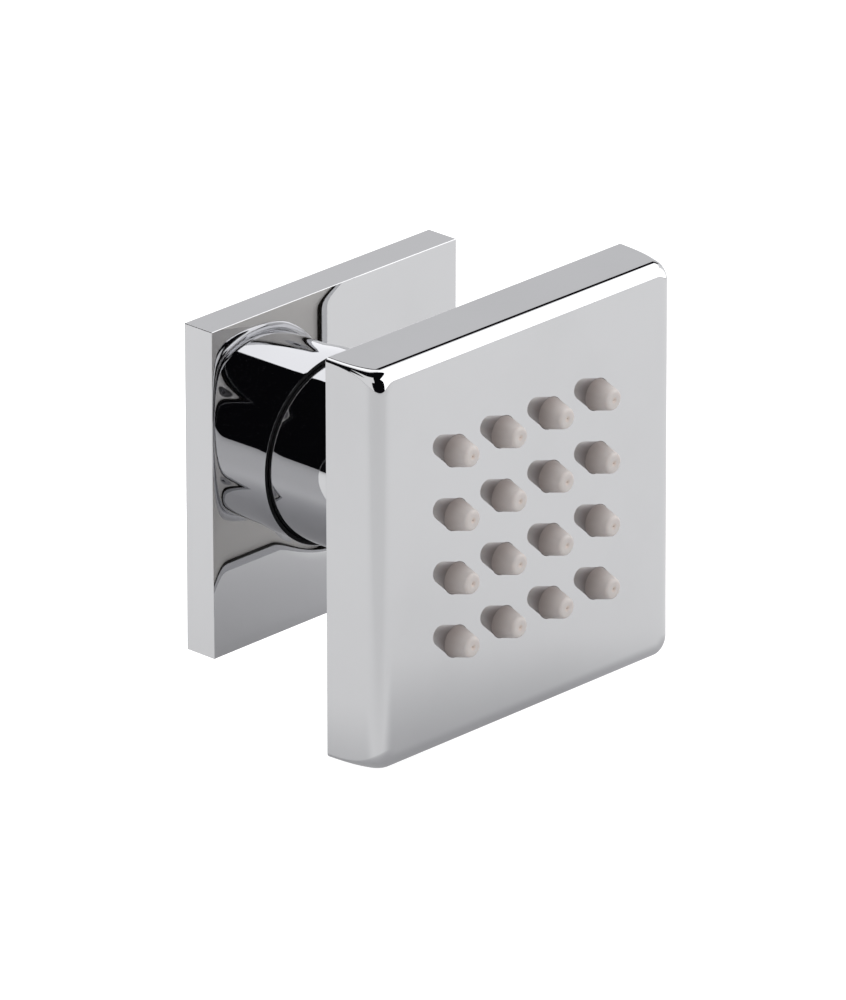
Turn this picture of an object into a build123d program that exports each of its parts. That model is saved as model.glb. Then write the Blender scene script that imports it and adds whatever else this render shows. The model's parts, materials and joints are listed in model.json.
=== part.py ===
from build123d import *
import os
from math import cos, radians, sin, sqrt, tan

# Shower body jet: a square spray head on a pinned ball, in a neck that turns on a wall nipple.
# Millimetres. The wall is the plane Y = 0, the jet sprays towards -Y, and +Z is up.
# The origin is the centre of the wall flange's back face. A depth is counted from the wall to the front.

# Fits
FIXED_GAP = 0.03        # between pieces of one body that are pushed together
RUNNING_GAP = 0.05      # radial, between a turning piece and its bearing
TURN_PLAY = 0.15        # end play of the neck on its spigot
SWING_GAP = 0.35        # free room around what swings
CUT_MARGIN = 1.0        # how far a groove's cutter stands out of the surface

# Wall flange
FLANGE_SIDE = 49.5
FLANGE_THICKNESS = 5.3
FLANGE_EDGE = 0.25
SEAL_GAP = 0.6          # black ring that shows between the neck and the flange
SEAL_BEAD = 1.0         # how far the seal's bead reaches into its groove
SEAL_BEAD_WIDTH = 1.4
SEAL_LIP = 2.4
SEAL_RECESS = 0.1
GASKET_SIDE = 44.0
GASKET_WIDTH = 4.0
GASKET_THICKNESS = 1.5

# Wall nipple with a half inch pipe thread
THREAD_DIAMETER = 20.955
THREAD_LENGTH = 14.0
THREAD_CHAMFER = 1.2
SHOULDER_DIAMETER = 25.0
SHOULDER_THICKNESS = 2.0
SPIGOT_DIAMETER = 16.0
NIPPLE_BORE = 9.0
KEY_ACROSS_FLATS = 10.0
KEY_DEPTH = 6.0
INSERT_DIAMETER = 15.0
REGULATOR_THICKNESS = 4.0
REGULATOR_SLOT = 0.9
REGULATOR_CORE = 6.0
FILTER_THICKNESS = 1.2
FILTER_RIM = 1.2
FILTER_BAR = 0.8
FILTER_BARS = 4
SPIGOT_RING_WIDTH = 1.8
SPIGOT_RING_DEPTH = 1.1
RETAINER_THICKNESS = 1.0
RETAINER_HEIGHT = 1.4
RETAINER_GROOVE = 0.6
RETAINER_LAND = 0.6
RETAINER_OPENING = 50.0  # degrees left open by the snap ring

# Neck
NECK_DIAMETER = 27.2
NECK_FRONT_STEP = 0.6   # the neck is turned down by this in front of the band
NECK_FRONT_LAND = 1.2       # in front of the bearing's snap ring
NECK_WALL = 2.2
NECK_EDGE = 0.4
NECK_MOUTH_CHAMFER = 0.8
NECK_WEB = 7.0
SEAT_SHOULDER = 1.0
BAND_HEIGHT = 1.2       # ring pressed over the pins' ends, which keeps them in
BAND_WIDTH = 2.3
BAND_OFFSET = 13.1      # from the flange's front
BAND_EDGE = 0.25

# Pinned ball and its seats
BALL_DIAMETER = 21.0
BALL_BACK = 6.0         # flat back of the ball, behind its centre
TILT_LIMIT = 12.0       # degrees up and down
PIN_HEAD_DIAMETER = 4.4
JOURNAL_DIAMETER = 3.6
JOURNAL_DEPTH = 4.0
SEAT_RING_SECTION = 2.0
SEAT_LENGTH = 3.8
BEARING_LENGTH = 2.2
BEARING_RING_WIDTH = 1.0
BEARING_RING_HEIGHT = 1.7
BEARING_RING_GROOVE = 0.8
BEARING_RING_OPENING = 40.0

# Stem of the ball
STEM_DIAMETER = 13.0
STEM_LENGTH = 3.0       # bare length between the ball and the head
STEM_BORE = 8.0
STEM_THREAD = 12.0
COLLAR_DIAMETER = 16.8
COLLAR_THICKNESS = 2.0
STEM_RING_WIDTH = 1.2
STEM_RING_DEPTH = 1.0
STEM_NUT_FLATS = 17.0
STEM_NUT_THICKNESS = 2.0
STEM_NUT_LAND = 0.4

# Spray head
HEAD_SIDE = 60.0
HEAD_DEPTH = 10.0
HEAD_DRAFT = 1.0        # degrees, the sides draw in towards the front
HEAD_BACK_CORNER = 0.6  # the four corners are tight at the back and rounder at the front
HEAD_FRONT_CORNER = 3.4
HEAD_FRONT_EDGE = 2.2
FACE_WALL = 2.0
SIDE_WALL = 1.2         # at the rim
SHELL_INNER_CORNER = 1.6
BACK_PLATE_THICKNESS = 1.8
BACK_PLATE_INSET = 0.8  # how far the cover lies inside the rim
BOSS_DIAMETER = 5.6
BOSS_INSET = 3.5        # from the shell's inner wall to a boss's axis
SCREW_DIAMETER = 3.0
SCREW_HEAD_DIAMETER = 5.4
SCREW_LENGTH = 6.0
SCREW_KEY = 1.0

# Nozzles
NOZZLE_ROWS = 4
NOZZLE_PITCH = 9.55
NOZZLE_HEIGHT = 3.3
NOZZLE_ROOT_DIAMETER = 4.7
NOZZLE_FLANK_DIAMETER = 3.1  # where the straight flank ends and the tip begins
NOZZLE_FLANK_HEIGHT = 2.9
NOZZLE_TIP_DIAMETER = 2.4
NOZZLE_OUTLET = 0.8
MAT_THICKNESS = 1.2
MAT_MARGIN = 6.0        # from the outer nozzle axes to the mat's edge
PLATE_THICKNESS = 1.2
PLATE_HOLE = 1.8
PLATE_RIM = 1.5
CHAMBER_GASKET_THICKNESS = 1.2

# Radii that follow
neck_r = NECK_DIAMETER / 2
neck_front_r = neck_r - NECK_FRONT_STEP
cavity_r = neck_r - NECK_WALL
shoulder_r = cavity_r - SEAT_SHOULDER
bore_r = neck_r + SEAL_GAP
spigot_r = SPIGOT_DIAMETER / 2
ball_r = BALL_DIAMETER / 2
seat_r = ball_r + RUNNING_GAP
journal_r = JOURNAL_DIAMETER / 2
stem_r = STEM_DIAMETER / 2
collar_r = COLLAR_DIAMETER / 2
stem_thread_r = STEM_THREAD / 2

# The ball's flat back has an edge that swings past the spigot and inside the seat
tilt = radians(TILT_LIMIT)
back_edge_r = sqrt(ball_r**2 - BALL_BACK**2)
back_reach = BALL_BACK * cos(tilt) + back_edge_r * sin(tilt)
seat_bore_r = back_edge_r * cos(tilt) + BALL_BACK * sin(tilt) + SWING_GAP
seat_meets_ball = sqrt(seat_r**2 - seat_bore_r**2)

# Depths, from the wall to the front
neck_rear = SHOULDER_THICKNESS + TURN_PLAY
web_front = neck_rear + NECK_WEB
retainer_rear = web_front + TURN_PLAY
spigot_front = retainer_rear + RETAINER_THICKNESS + RETAINER_LAND
pivot = spigot_front + SWING_GAP + back_reach
seat_front = pivot - journal_r - SWING_GAP
seat_rear = seat_front - SEAT_LENGTH
seat_shoulder = seat_rear - SEAT_RING_SECTION
bearing_rear = pivot + journal_r + SWING_GAP
bearing_front = bearing_rear + BEARING_LENGTH
ball_front = pivot + ball_r
head_back = ball_front + STEM_LENGTH
head_front = head_back + HEAD_DEPTH
neck_front = bearing_front + BEARING_RING_WIDTH + NECK_FRONT_LAND
band_rear = FLANGE_THICKNESS + BAND_OFFSET
band_front = band_rear + BAND_WIDTH
cover_rear = head_back + BACK_PLATE_INSET
boss_end = cover_rear + BACK_PLATE_THICKNESS
face_inner = head_front - FACE_WALL
plate_front = face_inner - MAT_THICKNESS
plate_rear = plate_front - PLATE_THICKNESS
gasket_front = boss_end + CHAMBER_GASKET_THICKNESS
stem_end = boss_end + STEM_NUT_THICKNESS - STEM_NUT_LAND

# Squares that follow
front_side = HEAD_SIDE - 2 * HEAD_DEPTH * tan(radians(HEAD_DRAFT))
cavity_side = HEAD_SIDE - 2 * SIDE_WALL
back_plate_side = cavity_side - 2 * FIXED_GAP
boss_offset = cavity_side / 2 - BOSS_INSET
mat_side = (NOZZLE_ROWS - 1) * NOZZLE_PITCH + 2 * MAT_MARGIN


def turned(points, arcs=None):
    """Solid of revolution about the jet's axis; arcs has the middle point of each rounded stretch."""
    corners = [(radius, -depth) for radius, depth in points]
    edges = []
    for index, start in enumerate(corners):
        end = corners[(index + 1) % len(corners)]
        if arcs and index in arcs:
            radius, depth = arcs[index]
            edges.append(ThreePointArc(start, (radius, -depth), end))
        else:
            edges.append(Line(start, end))
    return revolve(make_face(Curve() + edges), Axis.Y)


def ring(inner, outer, rear, front):
    """Plain ring of rectangular section."""
    return turned([(inner, rear), (outer, rear), (outer, front), (inner, front)])


def rod(radius, rear, front):
    """Plain cylinder on the jet's axis."""
    return turned([(0, rear), (radius, rear), (radius, front), (0, front)])


def facing(depth):
    """Plane at a depth that looks to the front, with its X along +X and its Y along +Z."""
    return Plane(origin=(0, -depth, 0), x_dir=(1, 0, 0), z_dir=(0, -1, 0))


def prism(outline, rear, front):
    """Outline carried from one depth to another."""
    return extrude(facing(rear) * outline, amount=front - rear)


def open_wedge(angle, reach, rear, front):
    """Wedge that opens a snap ring at its lowest point."""
    across = reach * sin(radians(angle) / 2)
    down = reach * cos(radians(angle) / 2)
    sides = Polyline((0, 0), (-across, -down), (across, -down), close=True)
    return prism(make_face(sides), rear, front)


def on_sphere(radius, offset):
    """Radius at which a sphere about the pivot is met by a plane at an offset from the pivot."""
    return sqrt(radius**2 - offset**2)


def nozzle_places():
    """Nozzle axes, as X and Z."""
    start = -(NOZZLE_ROWS - 1) / 2 * NOZZLE_PITCH
    steps = [start + index * NOZZLE_PITCH for index in range(NOZZLE_ROWS)]
    return [(x, z) for z in steps for x in steps]


def corner_places():
    """Axes of the four cover screws, as X and Z."""
    return [(x, z) for z in (-boss_offset, boss_offset) for x in (-boss_offset, boss_offset)]


def at_each(places, shape):
    """Copies of a shape moved to each place across the head."""
    return [Pos(x, 0, z) * shape for x, z in places]


# Wall side


def wall_flange():
    plate = prism(Rectangle(FLANGE_SIDE, FLANGE_SIDE), 0, FLANGE_THICKNESS)
    plate = chamfer(plate.edges().filter_by(Axis.Y) + plate.faces().sort_by(Axis.Y)[0].edges(), FLANGE_EDGE)
    bead_front = FLANGE_THICKNESS - SEAL_RECESS - SEAL_LIP + SEAL_BEAD_WIDTH
    bore = rod(bore_r, 0, FLANGE_THICKNESS)
    groove = ring(bore_r - CUT_MARGIN, bore_r + SEAL_BEAD, bead_front - SEAL_BEAD_WIDTH, bead_front)
    outer = Rectangle(GASKET_SIDE, GASKET_SIDE)
    inner = Rectangle(GASKET_SIDE - 2 * GASKET_WIDTH, GASKET_SIDE - 2 * GASKET_WIDTH)
    return plate - bore - groove - prism(outer - inner, 0, GASKET_THICKNESS)


def wall_gasket():
    side = GASKET_SIDE - 2 * FIXED_GAP
    hole = GASKET_SIDE - 2 * GASKET_WIDTH + 2 * FIXED_GAP
    return prism(Rectangle(side, side) - Rectangle(hole, hole), 0, GASKET_THICKNESS)


def flange_seal():
    front = FLANGE_THICKNESS - SEAL_RECESS
    rear = front - SEAL_LIP
    inner = neck_r + RUNNING_GAP
    lip = bore_r - FIXED_GAP
    bead = bore_r + SEAL_BEAD - FIXED_GAP
    bead_front = rear + SEAL_BEAD_WIDTH - FIXED_GAP
    outside = [(bead, rear), (bead, bead_front), (lip, bead_front), (lip, front)]
    return turned([(inner, rear), *outside, (inner, front)])


def spigot_ring_rears():
    """Depths of the two groove walls nearest the wall, spaced evenly along the web."""
    land = (NECK_WEB - 2 * SPIGOT_RING_WIDTH) / 3
    return [neck_rear + land, neck_rear + 2 * land + SPIGOT_RING_WIDTH]


def inlet_nipple():
    thread_r = THREAD_DIAMETER / 2
    profile = [
        (0, -THREAD_LENGTH), (thread_r - THREAD_CHAMFER, -THREAD_LENGTH),
        (thread_r, THREAD_CHAMFER - THREAD_LENGTH), (thread_r, 0),
        (SHOULDER_DIAMETER / 2, 0), (SHOULDER_DIAMETER / 2, SHOULDER_THICKNESS),
        (spigot_r, SHOULDER_THICKNESS), (spigot_r, spigot_front), (0, spigot_front),
    ]
    body = turned(profile)
    insert_depth = REGULATOR_THICKNESS + FILTER_THICKNESS
    body -= rod(INSERT_DIAMETER / 2, -THREAD_LENGTH, insert_depth - THREAD_LENGTH)
    body -= rod(NIPPLE_BORE / 2, -THREAD_LENGTH, spigot_front)
    key = RegularPolygon(KEY_ACROSS_FLATS / 2, 6, major_radius=False)
    body -= prism(key, spigot_front - KEY_DEPTH, spigot_front)
    for rear in spigot_ring_rears():
        body -= ring(spigot_r - SPIGOT_RING_DEPTH, spigot_r + CUT_MARGIN, rear, rear + SPIGOT_RING_WIDTH)
    groove_front = retainer_rear + RETAINER_THICKNESS
    return body - ring(spigot_r - RETAINER_GROOVE, spigot_r + CUT_MARGIN, retainer_rear, groove_front)


def spigot_o_rings():
    inner = spigot_r - SPIGOT_RING_DEPTH + FIXED_GAP
    rears = spigot_ring_rears()
    return Compound(children=[
        ring(inner, spigot_r, rear + FIXED_GAP, rear + SPIGOT_RING_WIDTH - FIXED_GAP) for rear in rears
    ])


def retaining_ring():
    inner = spigot_r - RETAINER_GROOVE + FIXED_GAP
    outer = inner + RETAINER_HEIGHT
    rear = retainer_rear + FIXED_GAP
    front = retainer_rear + RETAINER_THICKNESS - FIXED_GAP
    return ring(inner, outer, rear, front) - open_wedge(RETAINER_OPENING, 2 * outer, rear, front)


def inlet_filter():
    radius = INSERT_DIAMETER / 2 - FIXED_GAP
    front = FILTER_THICKNESS - THREAD_LENGTH
    rim = ring(radius - FILTER_RIM, radius, -THREAD_LENGTH, front)
    span = 2 * radius - FILTER_RIM
    spacing = 2 * (radius - FILTER_RIM) / (FILTER_BARS + 1)
    offsets = [(index - (FILTER_BARS - 1) / 2) * spacing for index in range(FILTER_BARS)]
    disc = Circle(radius - FILTER_RIM / 2)
    bars = Sketch() + [Pos(x, 0) * Rectangle(FILTER_BAR, span) for x in offsets]
    bars += [Pos(0, x) * Rectangle(span, FILTER_BAR) for x in offsets]
    return rim + prism(bars & disc, -THREAD_LENGTH, front)


def flow_regulator():
    rear = FILTER_THICKNESS - THREAD_LENGTH
    front = rear + REGULATOR_THICKNESS
    radius = INSERT_DIAMETER / 2 - FIXED_GAP
    passage = ring(REGULATOR_CORE / 2, REGULATOR_CORE / 2 + REGULATOR_SLOT, rear, front)
    spoke = Rectangle(INSERT_DIAMETER, REGULATOR_SLOT) + Rectangle(REGULATOR_SLOT, INSERT_DIAMETER)
    return rod(radius, rear, front) - (passage - prism(spoke, rear, front))


# Neck


def neck_sleeve():
    groove_r = cavity_r + BEARING_RING_GROOVE
    ring_front = bearing_front + BEARING_RING_WIDTH
    web_r = spigot_r + RUNNING_GAP
    profile = [
        (web_r, neck_rear), (neck_r - NECK_EDGE, neck_rear), (neck_r, neck_rear + NECK_EDGE),
        (neck_r, band_front), (neck_front_r, band_front),
        (neck_front_r, neck_front - NECK_EDGE), (neck_front_r - NECK_EDGE, neck_front),
        (cavity_r + NECK_MOUTH_CHAMFER, neck_front), (cavity_r, neck_front - NECK_MOUTH_CHAMFER),
        (cavity_r, ring_front), (groove_r, ring_front), (groove_r, bearing_front),
        (cavity_r, bearing_front), (cavity_r, seat_shoulder), (shoulder_r, seat_shoulder),
        (shoulder_r, web_front), (web_r, web_front),
    ]
    return turned(profile) - pin_rod(PIN_HEAD_DIAMETER / 2, -neck_r, neck_r)


def pin_rod(radius, start, end):
    """Cylinder along X through the pivot."""
    return Pos((start + end) / 2, -pivot, 0) * Rot(0, 90, 0) * Cylinder(radius, end - start)


def seat_o_ring():
    outer = cavity_r - FIXED_GAP
    return ring(outer - SEAT_RING_SECTION, outer, seat_shoulder, seat_rear - FIXED_GAP)


def ball_seat():
    outer = cavity_r - FIXED_GAP
    meets = pivot - seat_meets_ball
    front_r = on_sphere(seat_r, pivot - seat_front)
    middle = (meets + seat_front) / 2
    points = [
        (seat_bore_r, seat_rear), (outer, seat_rear), (outer, seat_front),
        (front_r, seat_front), (seat_bore_r, meets),
    ]
    return turned(points, {3: (on_sphere(seat_r, pivot - middle), middle)})


def front_bearing():
    outer = cavity_r - FIXED_GAP
    meets = pivot + seat_meets_ball
    rear_r = on_sphere(seat_r, bearing_rear - pivot)
    middle = (meets + bearing_rear) / 2
    points = [
        (rear_r, bearing_rear), (outer, bearing_rear), (outer, bearing_front),
        (seat_bore_r, bearing_front), (seat_bore_r, meets),
    ]
    return turned(points, {4: (on_sphere(seat_r, middle - pivot), middle)})


def bearing_snap_ring():
    outer = cavity_r + BEARING_RING_GROOVE - FIXED_GAP
    front = bearing_front + BEARING_RING_WIDTH - FIXED_GAP
    whole = ring(outer - BEARING_RING_HEIGHT, outer, bearing_front, front)
    return whole - open_wedge(BEARING_RING_OPENING, 2 * outer, bearing_front, front)


def pivot_pins():
    """Two pins whose outer ends are turned flush with the neck."""
    pins = []
    inner = ball_r - JOURNAL_DEPTH + SWING_GAP
    for side in (-1, 1):
        head = pin_rod(PIN_HEAD_DIAMETER / 2 - FIXED_GAP, *sorted((side * cavity_r, side * neck_r)))
        head &= rod(neck_r, neck_rear, neck_front)
        pins.append(head + pin_rod(journal_r, *sorted((side * inner, side * cavity_r))))
    return Compound(children=pins)


def neck_band():
    bore = neck_r + FIXED_GAP
    outer = neck_r + BAND_HEIGHT
    return turned([
        (bore, band_rear), (outer - BAND_EDGE, band_rear), (outer, band_rear + BAND_EDGE),
        (outer, band_front - BAND_EDGE), (outer - BAND_EDGE, band_front), (bore, band_front),
    ])


# Head


def ball_stem():
    ball_meets_stem = on_sphere(ball_r, stem_r)
    collar_rear = cover_rear - COLLAR_THICKNESS
    ring_inner = stem_thread_r + STEM_NUT_LAND
    ring_outer = ring_inner + STEM_RING_WIDTH
    bore = STEM_BORE / 2
    points = [
        (bore, pivot - BALL_BACK), (back_edge_r, pivot - BALL_BACK), (stem_r, pivot + ball_meets_stem),
        (stem_r, collar_rear), (collar_r, collar_rear), (collar_r, cover_rear),
        (ring_outer, cover_rear), (ring_outer, cover_rear - STEM_RING_DEPTH),
        (ring_inner, cover_rear - STEM_RING_DEPTH), (ring_inner, cover_rear),
        (stem_thread_r, cover_rear), (stem_thread_r, stem_end), (bore, stem_end),
    ]
    body = turned(points, {1: (ball_r, pivot)})
    socket = ball_r - JOURNAL_DEPTH
    for side in (-1, 1):
        body -= pin_rod(journal_r + RUNNING_GAP, *sorted((side * socket, side * 2 * ball_r)))
    return body


def stem_o_ring():
    inner = stem_thread_r + STEM_NUT_LAND + FIXED_GAP
    outer = stem_thread_r + STEM_NUT_LAND + STEM_RING_WIDTH - FIXED_GAP
    return ring(inner, outer, cover_rear - STEM_RING_DEPTH + FIXED_GAP, cover_rear)


def stem_nut():
    flats = RegularPolygon(STEM_NUT_FLATS / 2, 6, major_radius=False)
    return prism(flats - Circle(stem_thread_r + FIXED_GAP), boss_end, boss_end + STEM_NUT_THICKNESS)


def back_plate():
    outline = RectangleRounded(back_plate_side, back_plate_side, SHELL_INNER_CORNER)
    plate = prism(outline, cover_rear, boss_end)
    plate -= rod(stem_thread_r + FIXED_GAP, cover_rear, boss_end)
    return plate - at_each(corner_places(), screw_body(FIXED_GAP, cover_rear, boss_end))


def screw_body(gap, rear, front):
    """Countersunk screw shape with its head flush at the rear, made larger all round by a gap."""
    head_r = SCREW_HEAD_DIAMETER / 2 + gap
    shank_r = SCREW_DIAMETER / 2 + gap
    head_end = rear + head_r - shank_r
    return turned([(0, rear), (head_r, rear), (shank_r, head_end), (shank_r, front), (0, front)])


def face_shell():
    back = facing(head_back) * RectangleRounded(HEAD_SIDE, HEAD_SIDE, HEAD_BACK_CORNER)
    front = facing(head_front) * RectangleRounded(front_side, front_side, HEAD_FRONT_CORNER)
    block = loft([back.face(), front.face()], ruled=True)
    block = fillet(block.faces().sort_by(Axis.Y)[0].edges(), HEAD_FRONT_EDGE)
    cavity = RectangleRounded(cavity_side, cavity_side, SHELL_INNER_CORNER)
    shell = block - prism(cavity, head_back, face_inner)
    boss = ring(SCREW_DIAMETER / 2 + FIXED_GAP, BOSS_DIAMETER / 2, boss_end, face_inner)
    shell += at_each(corner_places(), boss)
    hole = rod(NOZZLE_ROOT_DIAMETER / 2 + FIXED_GAP, face_inner, head_front)
    return shell - at_each(nozzle_places(), hole)


def nozzle():
    """One nozzle on the jet's axis: a stub through the face, a straight taper and a blunt tip."""
    root_r = NOZZLE_ROOT_DIAMETER / 2
    tip = head_front + NOZZLE_HEIGHT
    return turned([
        (NOZZLE_OUTLET / 2, plate_front), (root_r, plate_front), (root_r, head_front),
        (NOZZLE_FLANK_DIAMETER / 2, head_front + NOZZLE_FLANK_HEIGHT),
        (NOZZLE_TIP_DIAMETER / 2, tip), (NOZZLE_OUTLET / 2, tip),
    ])


def nozzle_mat():
    sheet = prism(Rectangle(mat_side, mat_side), plate_front, face_inner)
    sheet -= at_each(nozzle_places(), rod(NOZZLE_ROOT_DIAMETER / 2, plate_front, face_inner))
    return sheet + at_each(nozzle_places(), nozzle())


def pressure_plate():
    plate = prism(Rectangle(mat_side, mat_side), plate_rear, plate_front)
    inner = mat_side - 2 * PLATE_RIM
    plate += prism(Rectangle(mat_side, mat_side) - Rectangle(inner, inner), gasket_front, plate_rear)
    return plate - at_each(nozzle_places(), rod(PLATE_HOLE / 2, plate_rear, plate_front))


def chamber_gasket():
    inner = mat_side - 2 * PLATE_RIM
    return prism(Rectangle(mat_side, mat_side) - Rectangle(inner, inner), boss_end, gasket_front)


def cover_screws():
    screw = screw_body(0, cover_rear, cover_rear + SCREW_LENGTH)
    screw -= prism(RegularPolygon(SCREW_KEY, 6), cover_rear, cover_rear + SCREW_KEY)
    return Compound(children=at_each(corner_places(), screw))


PIECES = [
    wall_flange, wall_gasket, flange_seal,
    inlet_nipple, spigot_o_rings, retaining_ring, inlet_filter, flow_regulator,
    neck_sleeve, seat_o_ring, ball_seat, front_bearing, bearing_snap_ring, pivot_pins, neck_band,
    ball_stem, stem_o_ring, stem_nut, back_plate, cover_screws,
    face_shell, nozzle_mat, pressure_plate, chamber_gasket,
]

os.makedirs("parts", exist_ok=True)
for piece in PIECES:
    export_step(piece(), f"parts/{piece.__name__}.step")
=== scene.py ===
"""Looks of a shower body jet: mirror chrome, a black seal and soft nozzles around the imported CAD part.

Lengths are millimetres in the part's own frame: the wall is the plane Y = 0, the jet sprays towards
-Y, and +Z is up. A depth is counted from the wall towards the front, so a point has Y = -depth.
"""

import json
import logging
import math
from collections.abc import Callable, Mapping, Sequence
from dataclasses import dataclass, field
from enum import Enum
from typing import Any

import bpy
import numpy as np
from mathutils import Matrix, Vector


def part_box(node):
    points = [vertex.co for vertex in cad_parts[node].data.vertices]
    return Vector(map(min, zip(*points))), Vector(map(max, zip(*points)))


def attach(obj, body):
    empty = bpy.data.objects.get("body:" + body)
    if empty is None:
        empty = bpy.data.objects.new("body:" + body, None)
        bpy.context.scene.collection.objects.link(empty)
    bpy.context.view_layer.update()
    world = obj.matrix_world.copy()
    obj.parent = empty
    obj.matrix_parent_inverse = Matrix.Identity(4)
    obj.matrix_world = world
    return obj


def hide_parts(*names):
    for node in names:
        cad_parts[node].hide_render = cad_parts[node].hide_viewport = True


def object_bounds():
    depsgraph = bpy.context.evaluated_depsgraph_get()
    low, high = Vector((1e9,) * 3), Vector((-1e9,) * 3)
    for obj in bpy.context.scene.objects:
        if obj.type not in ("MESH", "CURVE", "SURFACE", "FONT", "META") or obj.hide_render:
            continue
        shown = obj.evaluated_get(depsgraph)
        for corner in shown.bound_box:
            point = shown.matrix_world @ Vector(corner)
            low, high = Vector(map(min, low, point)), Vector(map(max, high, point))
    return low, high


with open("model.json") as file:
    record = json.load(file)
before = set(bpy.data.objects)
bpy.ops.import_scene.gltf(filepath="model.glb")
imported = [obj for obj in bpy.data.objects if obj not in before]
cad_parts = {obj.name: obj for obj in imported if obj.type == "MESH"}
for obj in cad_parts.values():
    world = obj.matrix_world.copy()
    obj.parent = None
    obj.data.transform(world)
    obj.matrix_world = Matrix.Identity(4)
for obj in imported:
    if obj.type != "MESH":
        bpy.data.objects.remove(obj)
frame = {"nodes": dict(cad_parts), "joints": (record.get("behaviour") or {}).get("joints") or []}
CAD_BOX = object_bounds()

LOG = logging.getLogger("body_jet")
MM = 0.001
WELD = 1e-4             # points nearer than this are one vertex
IMAGE_HEIGHT = 1000
SENSOR = 36.0

Colour = tuple[float, float, float]
Corner = tuple[float, float, float]
Pair = tuple[float, float]


class Body(Enum):
    """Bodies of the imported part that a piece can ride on."""

    BASE = "base"
    NECK = "neck"
    HEAD = "head"


class Slot(Enum):
    """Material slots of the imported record."""

    CHROME = "polished_chrome"
    PIN = "pin_chrome"
    COVER = "cover_plastic"
    BRASS = "brass"
    RUBBER = "black_rubber"
    FOAM = "foam"
    STEEL = "stainless_steel"
    ACETAL = "white_plastic"
    REGULATOR = "regulator_plastic"
    SILICONE = "nozzle_silicone"


class Facing(Enum):
    """Which way a flat face looks along the jet's axis, as the sign of its depth."""

    FRONT = 1.0
    BACK = -1.0


class Axle(Enum):
    """Axis that a turned piece is symmetric about."""

    JET = "jet"
    PIN = "pin"


# Shader graphs


def _operator(operation: str, reflected: bool = False) -> Callable[["Shade", "Value"], "Shade"]:
    """Method of a shader value that adds one Math node.

    Args:
        operation: Blender's name of the operation.
        reflected: Whether the other value comes first, as when a number stands on the left.

    Returns:
        The method.
    """

    def method(self: "Shade", other: "Value") -> "Shade":
        """Math node of two values."""
        first, second = (other, self) if reflected else (self, other)
        return self.graph.node("ShaderNodeMath", {"operation": operation}, {0: first, 1: second})

    return method


class Shade:
    """A shader value in Python arithmetic: each operator adds one Math node."""

    __add__ = __radd__ = _operator("ADD")
    __sub__ = _operator("SUBTRACT")
    __rsub__ = _operator("SUBTRACT", reflected=True)
    __mul__ = __rmul__ = _operator("MULTIPLY")
    __pow__ = _operator("POWER")
    or_ = _operator("MAXIMUM")     # the larger of two values

    def __init__(self, graph: "Graph", socket: bpy.types.NodeSocket) -> None:
        """Wraps an output socket of a graph."""
        self.graph = graph
        self.socket = socket

    def size(self) -> "Shade":
        """Absolute value."""
        return self.graph.node("ShaderNodeMath", {"operation": "ABSOLUTE"}, {0: self})

    def wrap(self, reach: float) -> "Shade":
        """Value that starts again from -reach each time it passes reach, as in a row of equal cells."""
        return self.graph.node("ShaderNodeMath", {"operation": "WRAP"}, {0: self, 1: reach, 2: -reach})

    def ease(self, low: float, high: float) -> "Shade":
        """Smooth step from 0 at low to 1 at high."""
        ends = {"Value": self, "From Min": low, "From Max": high}
        return self.graph.node("ShaderNodeMapRange", {"interpolation_type": "SMOOTHSTEP"}, ends)


Value = Shade | float


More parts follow.
